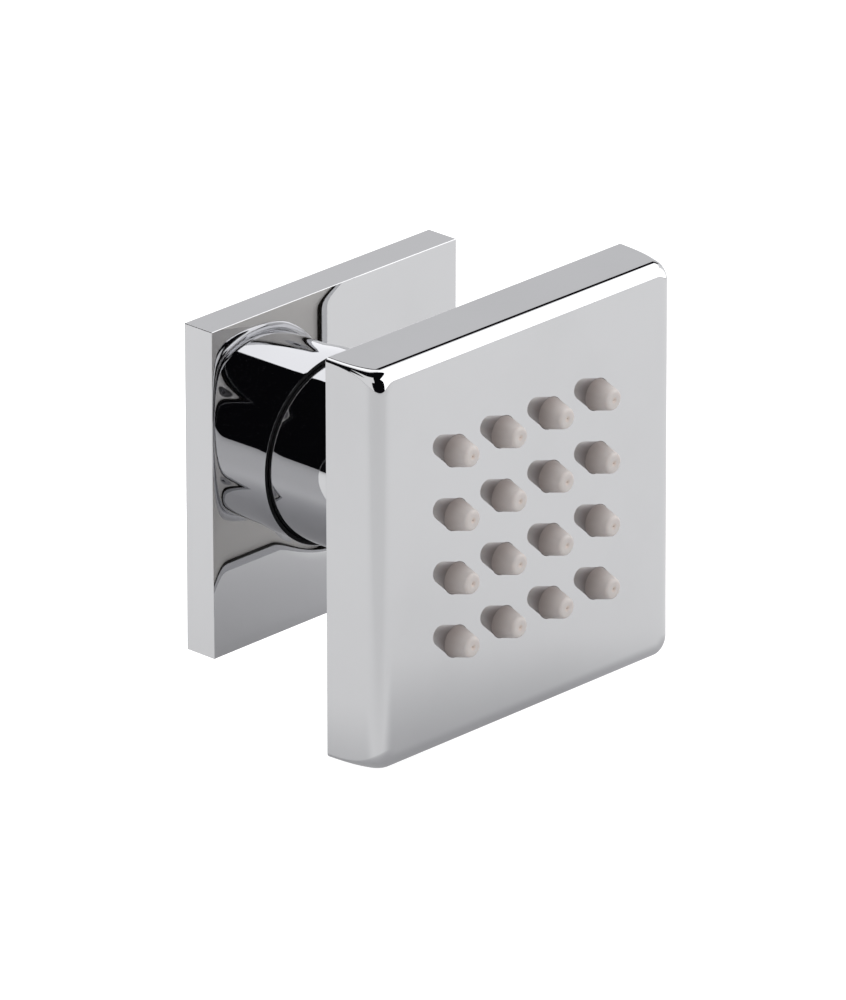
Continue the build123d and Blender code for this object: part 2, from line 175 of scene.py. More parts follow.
class Graph:
    """A node tree that is written as expressions."""

    def __init__(self, tree: bpy.types.NodeTree) -> None:
        """Empties a node tree and takes it over."""
        self.tree = tree
        tree.nodes.clear()

    def node(
        self,
        kind: str,
        settings: Mapping[str, Any] | None = None,
        sockets: Mapping[str | int, Any] | None = None,
        output: str | int = 0,
    ) -> Shade | None:
        """Adds any node.

        Args:
            kind: Blender's name of the node type.
            settings: The node's own properties, which are set first.
            sockets: Values or links of its inputs, by name, identifier or place.
            output: The output that is wanted, by name, identifier or place.

        Returns:
            The wanted output, or None for a node that has no output.
        """
        made = self.tree.nodes.new(kind)
        for name, value in (settings or {}).items():
            setattr(made, name, value)
        for key, value in (sockets or {}).items():
            socket = self._socket(made.inputs, key)
            if isinstance(value, Shade):
                self.tree.links.new(value.socket, socket)
            else:
                socket.default_value = value
        if not made.outputs:
            return None
        return Shade(self, self._socket(made.outputs, output))

    @staticmethod
    def _socket(group: Any, key: str | int) -> bpy.types.NodeSocket:
        """Socket of a node by place, identifier or name."""
        if isinstance(key, int):
            return group[key]
        return next(socket for socket in group if key in (socket.identifier, socket.name))

    def place(self) -> Shade:
        """Object coordinates."""
        return self.node("ShaderNodeTexCoord", output="Object")

    def axis(self, letter: str) -> Shade:
        """One object coordinate, in metres."""
        return self.node("ShaderNodeSeparateXYZ", sockets={"Vector": self.place()}, output=letter)

    def stretched(self, stretch: Colour) -> Shade:
        """Object coordinates scaled along each axis, for a grain that runs one way."""
        return self.node("ShaderNodeMapping", sockets={"Vector": self.place(), "Scale": stretch})

    def noise(self, scale: float, detail: float = 2.0, where: Shade | None = None) -> Shade:
        """Cloud noise about 0.5, with its scale in cells to the metre."""
        sockets = {"Vector": where or self.place(), "Scale": scale, "Detail": detail}
        return self.node("ShaderNodeTexNoise", {"noise_dimensions": "3D"}, sockets, "Fac")

    def cells(self, scale: float) -> Shade:
        """Distance to the nearest of scattered points, for pores and specks."""
        return self.node("ShaderNodeTexVoronoi", None, {"Vector": self.place(), "Scale": scale}, "Distance")

    def mix(self, factor: Value, first: Any, second: Any) -> Shade:
        """Colour between two colours."""
        ends = {"Factor_Float": factor, "A_Color": _paint(first), "B_Color": _paint(second)}
        return self.node("ShaderNodeMix", {"data_type": "RGBA"}, ends, "Result_Color")

    def bump(self, height: Shade, strength: float, distance: float) -> Shade:
        """Normal of a height, with the distance in metres."""
        sockets = {"Height": height, "Strength": strength, "Distance": distance}
        return self.node("ShaderNodeBump", None, sockets)

    def surface(self, sockets: Mapping[str, Any]) -> Shade:
        """Principled surface."""
        return self.node("ShaderNodeBsdfPrincipled", None, sockets)

    def rays(self, *kinds: str) -> Shade:
        """1 for rays of any of these kinds, such as Is Camera Ray."""
        path = self.node("ShaderNodeLightPath", output=kinds[0])
        for kind in kinds[1:]:
            path = path.or_(self.node("ShaderNodeLightPath", output=kind))
        return path


def _paint(colour: Any) -> Any:
    """Colour with its alpha, or a link as it is."""
    return colour if isinstance(colour, Shade) else (*colour, 1.0)


def _tone(colour: Colour, factor: float) -> Colour:
    """Colour made darker or lighter."""
    red, green, blue = colour
    return (red * factor, green * factor, blue * factor)


def new_material(name: str) -> tuple[bpy.types.Material, Graph]:
    """Material without nodes, and its node tree."""
    made = bpy.data.materials.new(name)
    made.use_nodes = True
    return made, Graph(made.node_tree)


def add_object(name: str, data: bpy.types.ID) -> bpy.types.Object:
    """Object of some data, linked into the scene at the origin."""
    made = bpy.data.objects.new(name, data)
    bpy.context.scene.collection.objects.link(made)
    return made


# Finishes


@dataclass(frozen=True)
class Finish:
    """A surface finish, which makes its own material."""

    name: str
    colour: Colour

    def shade(self, graph: Graph) -> Shade:
        """Shader of the finish.

        Args:
            graph: Node tree of the material.

        Returns:
            The surface shader.
        """
        raise NotImplementedError

    def material(self) -> bpy.types.Material:
        """Material of the finish, made at its first use."""
        made = bpy.data.materials.get(self.name)
        if made is None:
            made, graph = new_material(self.name)
            made.diffuse_color = _paint(self.colour)
            graph.node("ShaderNodeOutputMaterial", None, {"Surface": self.shade(graph)})
        return made

    def dress(self, piece: bpy.types.Object) -> None:
        """Gives a piece this finish alone."""
        piece.data.materials.clear()
        piece.data.materials.append(self.material())


@dataclass(frozen=True)
class PolishedChrome(Finish):
    """Mirror plating with faint wiping marks and the slight swell of a polished brass base."""

    roughness: float = 0.018
    haze: float = 0.03
    tarnish: float = 0.03
    smudge_scale: float = 55.0
    smudge_range: Pair = (0.42, 0.78)
    wipe_scale: float = 900.0
    wipe_stretch: Colour = (1.0, 1.0, 0.08)
    swell_scale: float = 22.0
    swell_height: float = 0.00001
    # near-black painted shade for the hollow behind the face
    painted_shade_colour: Colour = (0.02, 0.018, 0.016)
    hollow_roughness: float = 0.5

    def hollow_shade(self, graph: Graph) -> Value:
        """Where painted shade darkens the metal and makes it rougher, from 0 to 1."""
        return 0.0

    def shade(self, graph: Graph) -> Shade:
        """Metal whose gloss follows smudges, with a swell of a few microns, and near-black painted shade
        where the hollow mask is set.
        """
        smudge = graph.noise(self.smudge_scale, detail=5.0).ease(*self.smudge_range)
        wipe = graph.noise(self.wipe_scale, detail=3.0, where=graph.stretched(self.wipe_stretch))
        colour = graph.mix(smudge, self.colour, _tone(self.colour, 1.0 - self.tarnish))
        swell = graph.noise(self.swell_scale, detail=0.0)
        hollow_shade = self.hollow_shade(graph)
        return graph.surface({
            "Base Color": graph.mix(hollow_shade, colour, self.painted_shade_colour),
            "Metallic": 1.0,
            "Roughness": self.roughness + self.haze * smudge * wipe + hollow_shade * self.hollow_roughness,
            "Normal": graph.bump(swell, 1.0, self.swell_height),
        })


@dataclass(frozen=True)
class ShadedHollowChrome(PolishedChrome):
    """Chrome of a shell whose square hollow gets near-black painted shade and a rougher surface."""

    hollow_half: float = 0.0
    hollow_front: float = 0.0
    seam: float = 0.00002

    def hollow_shade(self, graph: Graph) -> Value:
        """1 inside the shell's square hollow, from the cover's recess to the back of the face, where shade is
        painted.
        """
        off_axis = graph.axis("X").size().or_(graph.axis("Z").size())
        within = 1.0 - off_axis.ease(self.hollow_half, self.hollow_half + self.seam)
        behind = (graph.axis("Y") + self.hollow_front).ease(-self.seam, 0.0)
        return within * behind


@dataclass(frozen=True)
class TurnedMetal(Finish):
    """Metal off the lathe: fine rings round its axis and a little dulling."""

    roughness: float = 0.2
    ring_scale: float = 2600.0
    ring_height: float = 0.000004
    ring_strength: float = 0.35
    ring_haze: float = 0.12
    patch_scale: float = 140.0
    patch_range: Pair = (0.35, 0.75)
    patch_haze: float = 0.1
    dulling: float = 0.16
    along: Colour = (0.02, 1.0, 0.02)

    def shade(self, graph: Graph) -> Shade:
        """Metal with cutting marks that change along one axis only."""
        marks = graph.noise(self.ring_scale, where=graph.stretched(self.along))
        patches = graph.noise(self.patch_scale, detail=4.0).ease(*self.patch_range)
        return graph.surface({
            "Base Color": graph.mix(patches, self.colour, _tone(self.colour, 1.0 - self.dulling)),
            "Metallic": 1.0,
            "Roughness": self.roughness + self.ring_haze * marks + self.patch_haze * patches,
            "Normal": graph.bump(marks, self.ring_strength, self.ring_height),
        })


@dataclass(frozen=True)
class SoftRubber(Finish):
    """Moulded rubber or foam: a dull surface with pores of a given size."""

    roughness: float = 0.55
    pore_scale: float = 2500.0
    pore_height: float = 0.00003
    pore_strength: float = 0.4
    pore_haze: float = 0.2
    bloom: float = 0.35
    bloom_scale: float = 220.0
    bloom_range: Pair = (0.45, 0.8)
    specular: float = 0.4

    def shade(self, graph: Graph) -> Shade:
        """Dull surface with pores and a pale bloom in patches."""
        pores = graph.cells(self.pore_scale)
        bloom = graph.noise(self.bloom_scale, detail=4.0).ease(*self.bloom_range)
        colour = graph.mix(bloom, self.colour, _tone(self.colour, 1.0 + self.bloom))
        return graph.surface({
            "Base Color": colour,
            "Roughness": self.roughness + self.pore_haze * pores,
            "Specular IOR Level": self.specular,
            "Normal": graph.bump(pores, self.pore_strength, self.pore_height),
        })


@dataclass(frozen=True)
class MouldedPlastic(Finish):
    """Moulded acetal: waxy, with a fine spark-eroded texture."""

    roughness: float = 0.38
    texture_scale: float = 3200.0
    texture_height: float = 0.000008
    texture_strength: float = 0.3
    texture_haze: float = 0.12
    flow_scale: float = 120.0
    flow_tone: float = 0.94
    depth_weight: float = 0.15
    depth_radius: Colour = (0.002, 0.002, 0.002)
    depth_scale: float = 0.5

    def shade(self, graph: Graph) -> Shade:
        """Waxy surface with a fine even texture."""
        texture = graph.noise(self.texture_scale, detail=3.0)
        flow = graph.noise(self.flow_scale, detail=3.0)
        return graph.surface({
            "Base Color": graph.mix(flow, self.colour, _tone(self.colour, self.flow_tone)),
            "Roughness": self.roughness + self.texture_haze * texture,
            "Subsurface Weight": self.depth_weight,
            "Subsurface Radius": self.depth_radius,
            "Subsurface Scale": self.depth_scale,
            "Normal": graph.bump(texture, self.texture_strength, self.texture_height),
        })


@dataclass(frozen=True)
class NozzleSilicone(Finish):
    """Soft grey-beige silicone, darker at the root as painted shade and paler at the thin tip as painted
    light, and beige at each outlet.
    """

    # painted light: the thin tip's paler colour; the finish's own colour is the root's, darkened as painted
    # shade
    lit_tip_colour: Colour = (0.70, 0.655, 0.635)
    outlet_colour: Colour = (0.66, 0.57, 0.52)
    root: float = 0.0
    tip: float = 1.0
    pitch: float = 1.0
    outlet: float = 0.00055
    roughness: float = 0.42
    specular: float = 0.35
    cloud: float = 0.25
    cloud_scale: float = 420.0
    cloud_tone: float = 0.8
    dust: float = 0.12
    dust_colour: Colour = (0.8, 0.8, 0.8)
    speck_scale: float = 900.0
    speck_range: Pair = (0.02, 0.09)
    grain_scale: float = 2400.0
    grain_height: float = 0.00001
    grain_strength: float = 0.25
    grain_haze: float = 0.15
    depth_weight: float = 0.35
    depth_radius: Colour = (0.0012, 0.0010, 0.0009)
    depth_scale: float = 0.6

    def shade(self, graph: Graph) -> Shade:
        """Translucent surface, from painted shade at the root to painted light at the tip, with a dusting of
        fine specks.

        The distance from a nozzle's own axis comes from X and Z wrapped into one cell of the grid.
        """
        rise = (0.0 - graph.axis("Y")).ease(self.root, self.tip)
        reach = self.pitch / 2
        across = (graph.axis("X") - reach).wrap(reach)
        up = (graph.axis("Z") - reach).wrap(reach)
        off_axis = (across * across + up * up) ** 0.5
        outlet = 1.0 - off_axis.ease(0.5 * self.outlet, self.outlet)
        cloud = graph.noise(self.cloud_scale, detail=3.0)
        specks = 1.0 - graph.cells(self.speck_scale).ease(*self.speck_range)
        # painted shade at the root blending to painted light at the tip
        body = graph.mix(rise, self.colour, self.lit_tip_colour)
        veined = graph.mix(cloud * self.cloud, body, _tone(self.colour, self.cloud_tone))
        dusted = graph.mix(specks * self.dust, veined, self.dust_colour)
        grain = graph.noise(self.grain_scale)
        return graph.surface({
            "Base Color": graph.mix(outlet, dusted, self.outlet_colour),
            "Roughness": self.roughness + self.grain_haze * grain,
            "Specular IOR Level": self.specular,
            "Subsurface Weight": self.depth_weight,
            "Subsurface Radius": self.depth_radius,
            "Subsurface Scale": self.depth_scale,
            "Normal": graph.bump(grain, self.grain_strength, self.grain_height),
        })


# Surfaces


def in_space(plan: np.ndarray, depth: Any) -> np.ndarray:
    """X and Z of a plan with Y = -depth between them, for points as for normals."""
    along = np.broadcast_to(np.asarray(depth, float), plan.shape[:-1])
    return np.stack([plan[..., 0], -along, plan[..., 1]], axis=-1)


@dataclass
class Run:
    """A stretch of a profile: points and outward normals, each as radius and depth."""

    points: np.ndarray
    normals: np.ndarray


@dataclass
class Patch:
    """A grid of points and normals in millimetres; its columns close on themselves."""

    points: np.ndarray
    normals: np.ndarray


@dataclass
class Loop:
    """Closed outlines across the jet's axis, one to a row: points and outward normals as X and Z."""

    points: np.ndarray
    normals: np.ndarray

    def lifted(self, depths: Any) -> np.ndarray:
        """Points in space, with one depth to each row or to each point."""
        depth = np.asarray(depths, float)
        return in_space(self.points, depth[:, None] if depth.ndim == 1 else depth)

    def last(self) -> "Loop":
        """The last outline alone."""
        return Loop(self.points[-1:], self.normals[-1:])


def rounded_runs(corners: Sequence[Corner], steps: int = 6) -> list[Run]:
    """Closed profile with rounded corners, walked with the material on its left.

    The straight stretches stop a tangent length r tan(turn / 2) short of each corner, and the arc
    between them turns the normal evenly about a centre that lies r from both.

    Args:
        corners: Radius, depth and rounding of each corner.
        steps: Spans in each arc.

    Returns:
        The arcs and straight stretches in order.
    """
    table = np.array(corners, float)
    place = table[:, :2]
    rounding = table[:, 2]
    leave = np.roll(place, -1, axis=0) - place
    leave /= np.linalg.norm(leave, axis=1, keepdims=True)
    arrive = np.roll(leave, 1, axis=0)
    across = arrive[:, 0] * leave[:, 1] - arrive[:, 1] * leave[:, 0]
    turn = np.arctan2(across, (arrive * leave).sum(axis=1))
    tangent = (rounding * np.tan(np.abs(turn) / 2))[:, None]
    start = place - arrive * tangent
    end = place + leave * tangent
    side = np.stack([leave[:, 1], -leave[:, 0]], axis=1)
    runs: list[Run] = []
    for index, radius in enumerate(rounding):
        if radius > 0:
            before = side[index - 1]
            angle = turn[index] * np.linspace(0.0, 1.0, steps + 1)
            x = before[0] * np.cos(angle) - before[1] * np.sin(angle)
            y = before[0] * np.sin(angle) + before[1] * np.cos(angle)
            normals = np.stack([x, y], axis=1)
            reach = math.copysign(radius, turn[index])
            runs.append(Run(start[index] + reach * (normals - before), normals))
        following = (index + 1) % len(place)
        ends = np.stack([end[index], start[following]])
        runs.append(Run(ends, np.stack([side[index], side[index]])))
    return runs


def bezier(controls: Sequence[Pair], steps: int) -> tuple[np.ndarray, np.ndarray]:
    """Bezier curve of any degree n, B(t) = sum of C(n, k) t^k (1 - t)^(n - k) P_k.

    Args:
        controls: The n + 1 control points.
        steps: Spans along the curve.

    Returns:
        The points, and the rates at which they change with t.
    """
    places = np.array(controls, float)
    t = np.linspace(0.0, 1.0, steps + 1)[:, None]

    def blend(weights: np.ndarray) -> np.ndarray:
        """Bernstein sum of some weights."""
        degree = len(weights) - 1
        power = np.arange(degree + 1)
        choose = np.array([math.comb(degree, k) for k in power])
        return (choose * t**power * (1.0 - t)**(degree - power)) @ weights

    return blend(places), (len(places) - 1) * blend(np.diff(places, axis=0))


def bezier_run(controls: Sequence[Pair], steps: int = 16) -> Run:
    """Bezier stretch of a profile, with its normal to the right of its travel."""
    points, travel = bezier(controls, steps)
    travel /= np.linalg.norm(travel, axis=1, keepdims=True)
    return Run(points, np.stack([travel[:, 1], -travel[:, 0]], axis=1))


def lathe(
    runs: Sequence[Run],
    segments: int,
    axle: Axle = Axle.JET,
    centre: Pair = (0.0, 0.0),
) -> list[Patch]:
    """Turns a profile: a point of radius r and depth d goes to (r cos a, -d, r sin a).

    The angles start at 45 degrees, as those of square outlines do. About the pin axis the profile's
    depth runs along +X instead, and the circle lies in Y and Z.

    Args:
        runs: Stretches of the profile.
        segments: Spans round the circle.
        axle: Axis of the turning.
        centre: X and Z of the jet axis, or Y and Z of the pin axis.

    Returns:
        One patch to each stretch.
    """
    angle = math.pi / 4 + 2 * math.pi * np.arange(segments) / segments
    ring = np.stack([np.cos(angle), np.sin(angle)], axis=1)

    def swept(profile: np.ndarray, offset: Pair) -> np.ndarray:
        """Profile carried round, as a grid in space."""
        flat = profile[:, None, :1] * ring[None] + np.array(offset)
        if axle is Axle.JET:
            return in_space(flat, profile[:, 1:])
        along = np.broadcast_to(profile[:, None, 1:], (*flat.shape[:2], 1))
        return np.concatenate([along, flat], axis=-1)

    return [Patch(swept(run.points, centre), swept(run.normals, (0.0, 0.0))) for run in runs]


def _quarters(quarter: np.ndarray) -> np.ndarray:
    """A quarter of an outline, from the +X +Z corner over the top, turned into all four."""
    x, z = quarter[..., 0], quarter[..., 1]
    turns = [(x, z), (-z, x), (-x, -z), (z, -x)]
    return np.concatenate([np.stack(pair, axis=-1) for pair in turns], axis=-2)


def rounded_squares(half: Any, corner: Any, arc: int, side: int) -> Loop:
    """Square outlines with round corners, one to each half side and corner radius.

    Each quarter runs from the middle of a corner: half an arc of normals from 45 to 90 degrees, a
    straight side, and half an arc from 90 to 135 degrees, about centres half - corner off the axis.

    Args:
        half: Half side of each square.
        corner: Corner radius of each square.
        arc: Spans in half a corner.
        side: Spans along a straight side.

    Returns:
        The outlines, with 4 (2 arc + side) points in each.
    """
    half = np.atleast_1d(np.asarray(half, float))[:, None]
    corner = np.broadcast_to(np.atleast_1d(np.asarray(corner, float))[:, None], half.shape)
    rise = np.linspace(math.pi / 4, math.pi / 2, arc, endpoint=False)
    fall = np.linspace(math.pi / 2, 3 * math.pi / 4, arc, endpoint=False)[1:]
    angle = np.concatenate([rise, np.full(side + 1, math.pi / 2), fall])
    slide = np.concatenate([np.ones(arc), np.linspace(1.0, -1.0, side + 1), -np.ones(arc - 1)])
    normal = np.stack([np.cos(angle), np.sin(angle)], axis=-1)
    middle = half - corner
    x = slide * middle + corner * normal[:, 0]
    z = middle + corner * normal[:, 1]
    points = _quarters(np.stack([x, z], axis=-1))
    return Loop(points, np.broadcast_to(_quarters(normal), points.shape))


def even_square(half: float, steps: int, centre: Pair = (0.0, 0.0)) -> Loop:
    """Plain square outline with evenly spaced points, whose normals lean towards the corners."""
    x = half * (1.0 - 2.0 * np.arange(steps) / steps)
    quarter = np.stack([x, np.full(steps, half)], axis=-1)
    points = _quarters(quarter)[None]
    return Loop(points + np.array(centre), np.sign(points))


def circle(radius: float, count: int, centre: Pair = (0.0, 0.0)) -> Loop:
    """Round outline whose points start at 45 degrees, in step with the square ones."""
    angle = math.pi / 4 + 2 * math.pi * np.arange(count) / count
    normal = np.stack([np.cos(angle), np.sin(angle)], axis=-1)[None]
    return Loop(radius * normal + np.array(centre), normal)


def flat(inner: Loop, outer: Loop, depth: float, facing: Facing) -> Patch:
    """Flat band between two outlines at one depth."""
    points = np.concatenate([inner.lifted([depth]), outer.lifted([depth])])
    normal = np.array([0.0, -facing.value, 0.0])
    return Patch(points, np.broadcast_to(normal, points.shape))


def wall(loops: Loop, depths: Any, inward: bool = False) -> Patch:
    """Wall along the depth through one outline to each depth, looking outward or towards the axis."""
    normals = in_space(loops.normals, 0.0)
    return Patch(loops.lifted(depths), -normals if inward else normals)


class Surface:
    """Patches that are welded into one closed mesh with exact normals."""

    def __init__(self, *patches: Patch) -> None:
        """Starts with some patches."""
        self.patches: list[Patch] = list(patches)

    def add(self, *patches: Patch) -> None:
        """Takes more patches."""
        self.patches.extend(patches)

    def build(self, name: str) -> bpy.types.Object:
        """Makes the mesh object.

        Grid cells become faces that agree with the patches' normals, points that coincide become
        one vertex, and each face corner keeps the normal of its own patch.

        Args:
            name: Name of the piece.

        Returns:
            The object, at the origin and in metres.
        """
        points = np.concatenate([patch.points.reshape(-1, 3) for patch in self.patches])
        normals = np.concatenate([patch.normals.reshape(-1, 3) for patch in self.patches])
        normals = normals / np.linalg.norm(normals, axis=1, keepdims=True)
        quads = self._quads()
        first, second, third, fourth = points[quads].transpose(1, 0, 2)
        facing = np.cross(third - first, fourth - second)
        turned = (facing * normals[quads].sum(axis=1)).sum(axis=1) < 0
        quads[turned] = quads[turned][:, ::-1]
        _, kept, weld = np.unique(np.round(points / WELD), axis=0, return_index=True, return_inverse=True)
        corners = weld.reshape(-1)[quads]
        distinct = corners != np.roll(corners, -1, axis=1)
        distinct &= (distinct.sum(axis=1) >= 3)[:, None]
        counts = distinct.sum(axis=1)
        counts = counts[counts > 0]
        mesh = bpy.data.meshes.new(name)
        mesh.vertices.add(len(kept))
        mesh.vertices.foreach_set("co", (points[kept] * MM).astype(np.float32).ravel())
        mesh.loops.add(int(counts.sum()))
        mesh.loops.foreach_set("vertex_index", corners[distinct].astype(np.int32))
        mesh.polygons.add(len(counts))
        mesh.polygons.foreach_set("loop_start", (np.cumsum(counts) - counts).astype(np.int32))
        mesh.update(calc_edges=True)
        mesh.normals_split_custom_set(normals[quads][distinct])
        return add_object(name, mesh)

    def _quads(self) -> np.ndarray:
        """Corner numbers of every grid cell, with the last column joined to the first."""
        found = []
        base = 0
        for patch in self.patches:
            rows, columns = patch.points.shape[:2]
            index = base + np.arange(rows * columns).reshape(rows, columns)
            index = np.concatenate([index, index[:, :1]], axis=1)
            cells = [index[:-1, :-1], index[:-1, 1:], index[1:, 1:], index[1:, :-1]]
            found.append(np.stack(cells, axis=-1).reshape(-1, 4))
            base += rows * columns
        return np.concatenate(found)


def turned(name: str, outline: Sequence[Corner], around: int) -> bpy.types.Object:
    """Piece turned about the jet's axis from a closed profile with rounded corners."""
    return Surface(*lathe(rounded_runs(outline), around)).build(name)


@dataclass
class Span:
    """Box of a CAD node, in millimetres."""

    low: np.ndarray
    high: np.ndarray

    @classmethod
    def of(cls, node: str) -> "Span":
        """Box of one node at rest."""
        low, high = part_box(node)
        return cls(np.array(low) / MM, np.array(high) / MM)

    @property
    def rear(self) -> float:
        """Depth of the end nearer the wall."""
        return float(-self.high[1])

    @property
    def front(self) -> float:
        """Depth of the end nearer the front."""
        return float(-self.low[1])

    @property
    def half(self) -> float:
        """Half its width, which is the radius of a turned piece."""
        return float(self.high[0] - self.low[0]) / 2


def box_of(node: str) -> Any:
    """Field of a dataclass that holds the box of a CAD node."""
    return field(default_factory=lambda: Span.of(node))


def stand_for(piece: bpy.types.Object, node: str, body: Body, finish: Finish) -> None:
    """Lets a built piece stand for a CAD node.

    Args:
        piece: The new piece.
        node: CAD node that it replaces.
        body: Body that it rides on.
        finish: Its finish.
    """
    finish.dress(piece)
    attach(piece, body.value)
    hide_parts(node)
    LOG.info("%s stands for %s with %d faces", piece.name, node, len(piece.data.polygons))


def keep_node(node: str, finish: Finish) -> None:
    """Keeps a CAD node as it is and gives it a finish."""
    piece = frame["nodes"][node]
    finish.dress(piece)
    LOG.info("%s keeps its solid", node)


# Wall side


@dataclass(frozen=True)
class Roll:
    """How a polished face falls off in a border: its slope is a power of the way into the border."""

    width: float
    steepest: float
    power: float

    def slope(self, into: np.ndarray) -> np.ndarray:
        """Slope at a distance d into the border, steepest (d / width)^power."""
        return self.steepest * (into / self.width)**self.power

    def fall(self, into: np.ndarray) -> np.ndarray:
        """Fall at a distance into the border, which is the sum of the slopes up to it."""
        return self.slope(into) * into / (self.power + 1.0)


@dataclass
class WallFlange:
    """Square mirror plate against the wall, with the black lip seal in its bore."""

    chrome: Finish
    rubber: Finish
    edge: float = 0.11
    edge_roll: Roll = Roll(3.2, 0.13, 3.0)
    lip_roll: Roll = Roll(2.5, 0.085, 1.3)
    stand: Pair = (0.028, -0.008)   # lean of the front's normals in X and Z
    bore_edge: float = 0.12
    seal_gap: float = 0.6
    seal_bead: float = 1.0
    seal_round: float = 0.14
    seal_edge: float = 0.1
    lip_edge: float = 0.05
    lip_gap: float = 0.03
    groove_share: float = 0.58      # of the seal's length
    bead_share: float = 0.57
    running_gap: float = 0.05
    gasket_width: float = 4.0
    beyond: float = 1.0             # closes the bore's profile outside it
    seal_around: int = 160
    arc: int = 4
    side: int = 56
    bevel_steps: int = 5
    face_rows: int = 44
    box: Span = box_of("wall_flange")
    seal: Span = box_of("flange_seal")
    gasket: Span = box_of("wall_gasket")
    neck: Span = box_of("neck_sleeve")

    @property
    def bore(self) -> float:
        """Radius of the bore that the neck turns in."""
        return self.neck.half + self.seal_gap

    def squares(self, half: Any, corner: Any) -> Loop:
        """Square outlines with this flange's spans."""
        return rounded_squares(half, corner, self.arc, self.side)

    def face(self, points: np.ndarray) -> tuple[np.ndarray, np.ndarray]:
        """Polished front: flat, with a roll towards each outer edge and round the bore.

        The falls towards the sides, towards top and bottom, and round the bore add up. Each edge's
        fall fades towards its ends as 1 - (place along the edge / half side)^2. The normals also lean
        as the photographed plate stands against the head, which its reflections show.

        Args:
            points: X and Z of points on the front.

        Returns:
            Depths of the points, and normals with their part along the depth equal to one.
        """
        into_edge = np.maximum(np.abs(points) - (self.box.half - self.edge_roll.width), 0.0)
        radius = np.linalg.norm(points, axis=-1, keepdims=True)
        into_lip = np.maximum(self.bore + self.lip_roll.width - radius, 0.0)
        along = points[..., ::-1] / self.box.half
        fade = 1.0 - along**2
        drop = self.edge_roll.fall(into_edge)
        fall = (drop * fade).sum(axis=-1) + self.lip_roll.fall(into_lip)[..., 0]
        outward = self.edge_roll.slope(into_edge) * np.sign(points) * fade
        outward -= drop[..., ::-1] * 2.0 * points / self.box.half**2
        inward = self.lip_roll.slope(into_lip) * points / radius
        return self.box.front - fall, in_space(outward - inward + np.array(self.stand), 1.0)

    def front(self, inner: Loop, outer: Loop) -> Patch:
        """Front between two outlines, in rows that blend from the one to the other."""
        share = np.linspace(0.0, 1.0, self.face_rows + 1)[:, None, None]
        rows = Loop(inner.points * (1.0 - share) + outer.points * share, inner.normals)
        depths, normals = self.face(rows.points)
        return Patch(rows.lifted(depths), normals)

    def build_plate(self) -> bpy.types.Object:
        """Closed plate: front, rounded outer edge, sides, back with the gasket's channel, and bore."""
        half = self.box.half
        rear = self.box.rear
        count = 4 * (2 * self.arc + self.side)
        end = math.atan2(1.0, self.edge_roll.steepest)
        turn = np.linspace(0.0, end, self.bevel_steps + 1)[:, None]
        inset = self.edge * (1.0 - np.cos(turn[:, 0]))
        loops = self.squares(half - inset, self.edge - inset)
        depths = self.face(loops.points[-1:])[0] + self.edge * (np.sin(turn) - math.sin(end))
        rims = self.squares([half] * 2, self.edge)
        outer = self.squares([self.gasket.half] * 2, 0.0)
        inner = self.squares([self.gasket.half - self.gasket_width] * 2, 0.0)
        channel = [rear, self.gasket.front]
        surface = Surface(
            Patch(loops.lifted(depths), in_space(loops.normals * np.cos(turn)[..., None], np.sin(turn))),
            wall(rims, np.stack([np.full(count, rear), depths[0]])),
            self.front(circle(self.bore + self.bore_edge, count), loops.last()),
            flat(outer.last(), rims.last(), rear, Facing.BACK),
            wall(outer, channel, inward=True),
            flat(inner.last(), outer.last(), self.gasket.front, Facing.BACK),
            wall(inner, channel),
            flat(circle(self.bore, count), inner.last(), rear, Facing.BACK),
            *lathe(self.bore_runs(), count),
        )
        return surface.build("mirror_flange")

    def bore_runs(self) -> list[Run]:
        """Bore of the plate, from its rounded mouth past the seal's groove to the back."""
        bore = self.bore
        mouth = float(self.face(np.array([[bore + self.bore_edge, 0.0]]))[0][0])
        groove = bore + self.seal_bead
        groove_front = self.seal.rear + (self.seal.front - self.seal.rear) * self.groove_share
        outline = [
            (groove + self.beyond, mouth, 0.0), (bore, mouth, self.bore_edge),
            (bore, groove_front, 0.0), (groove, groove_front, 0.0),
            (groove, self.seal.rear, 0.0), (bore, self.seal.rear, 0.0),
            (bore, self.box.rear, 0.0), (groove + self.beyond, self.box.rear, 0.0),
        ]
        return rounded_runs(outline)[1:-2]

    def build_seal(self) -> bpy.types.Object:
        """Black ring with a rounded lip, turned about the jet's axis."""
        inner = self.neck.half + self.running_gap
        lip = self.bore - self.lip_gap
        bead = self.seal.half
        rear = self.seal.rear
        front = self.seal.front
        bead_front = rear + (front - rear) * self.bead_share
        edge = self.seal_edge
        outline = [
            (inner, rear, edge), (bead, rear, edge), (bead, bead_front, edge),
            (lip, bead_front, self.lip_edge), (lip, front, self.seal_round), (inner, front, self.seal_round),
        ]
        return turned("black_lip_seal", outline, self.seal_around)

    def make(self) -> None:
        """Builds and dresses the plate and the seal."""
        stand_for(self.build_plate(), "wall_flange", Body.BASE, self.chrome)
        stand_for(self.build_seal(), "flange_seal", Body.BASE, self.rubber)


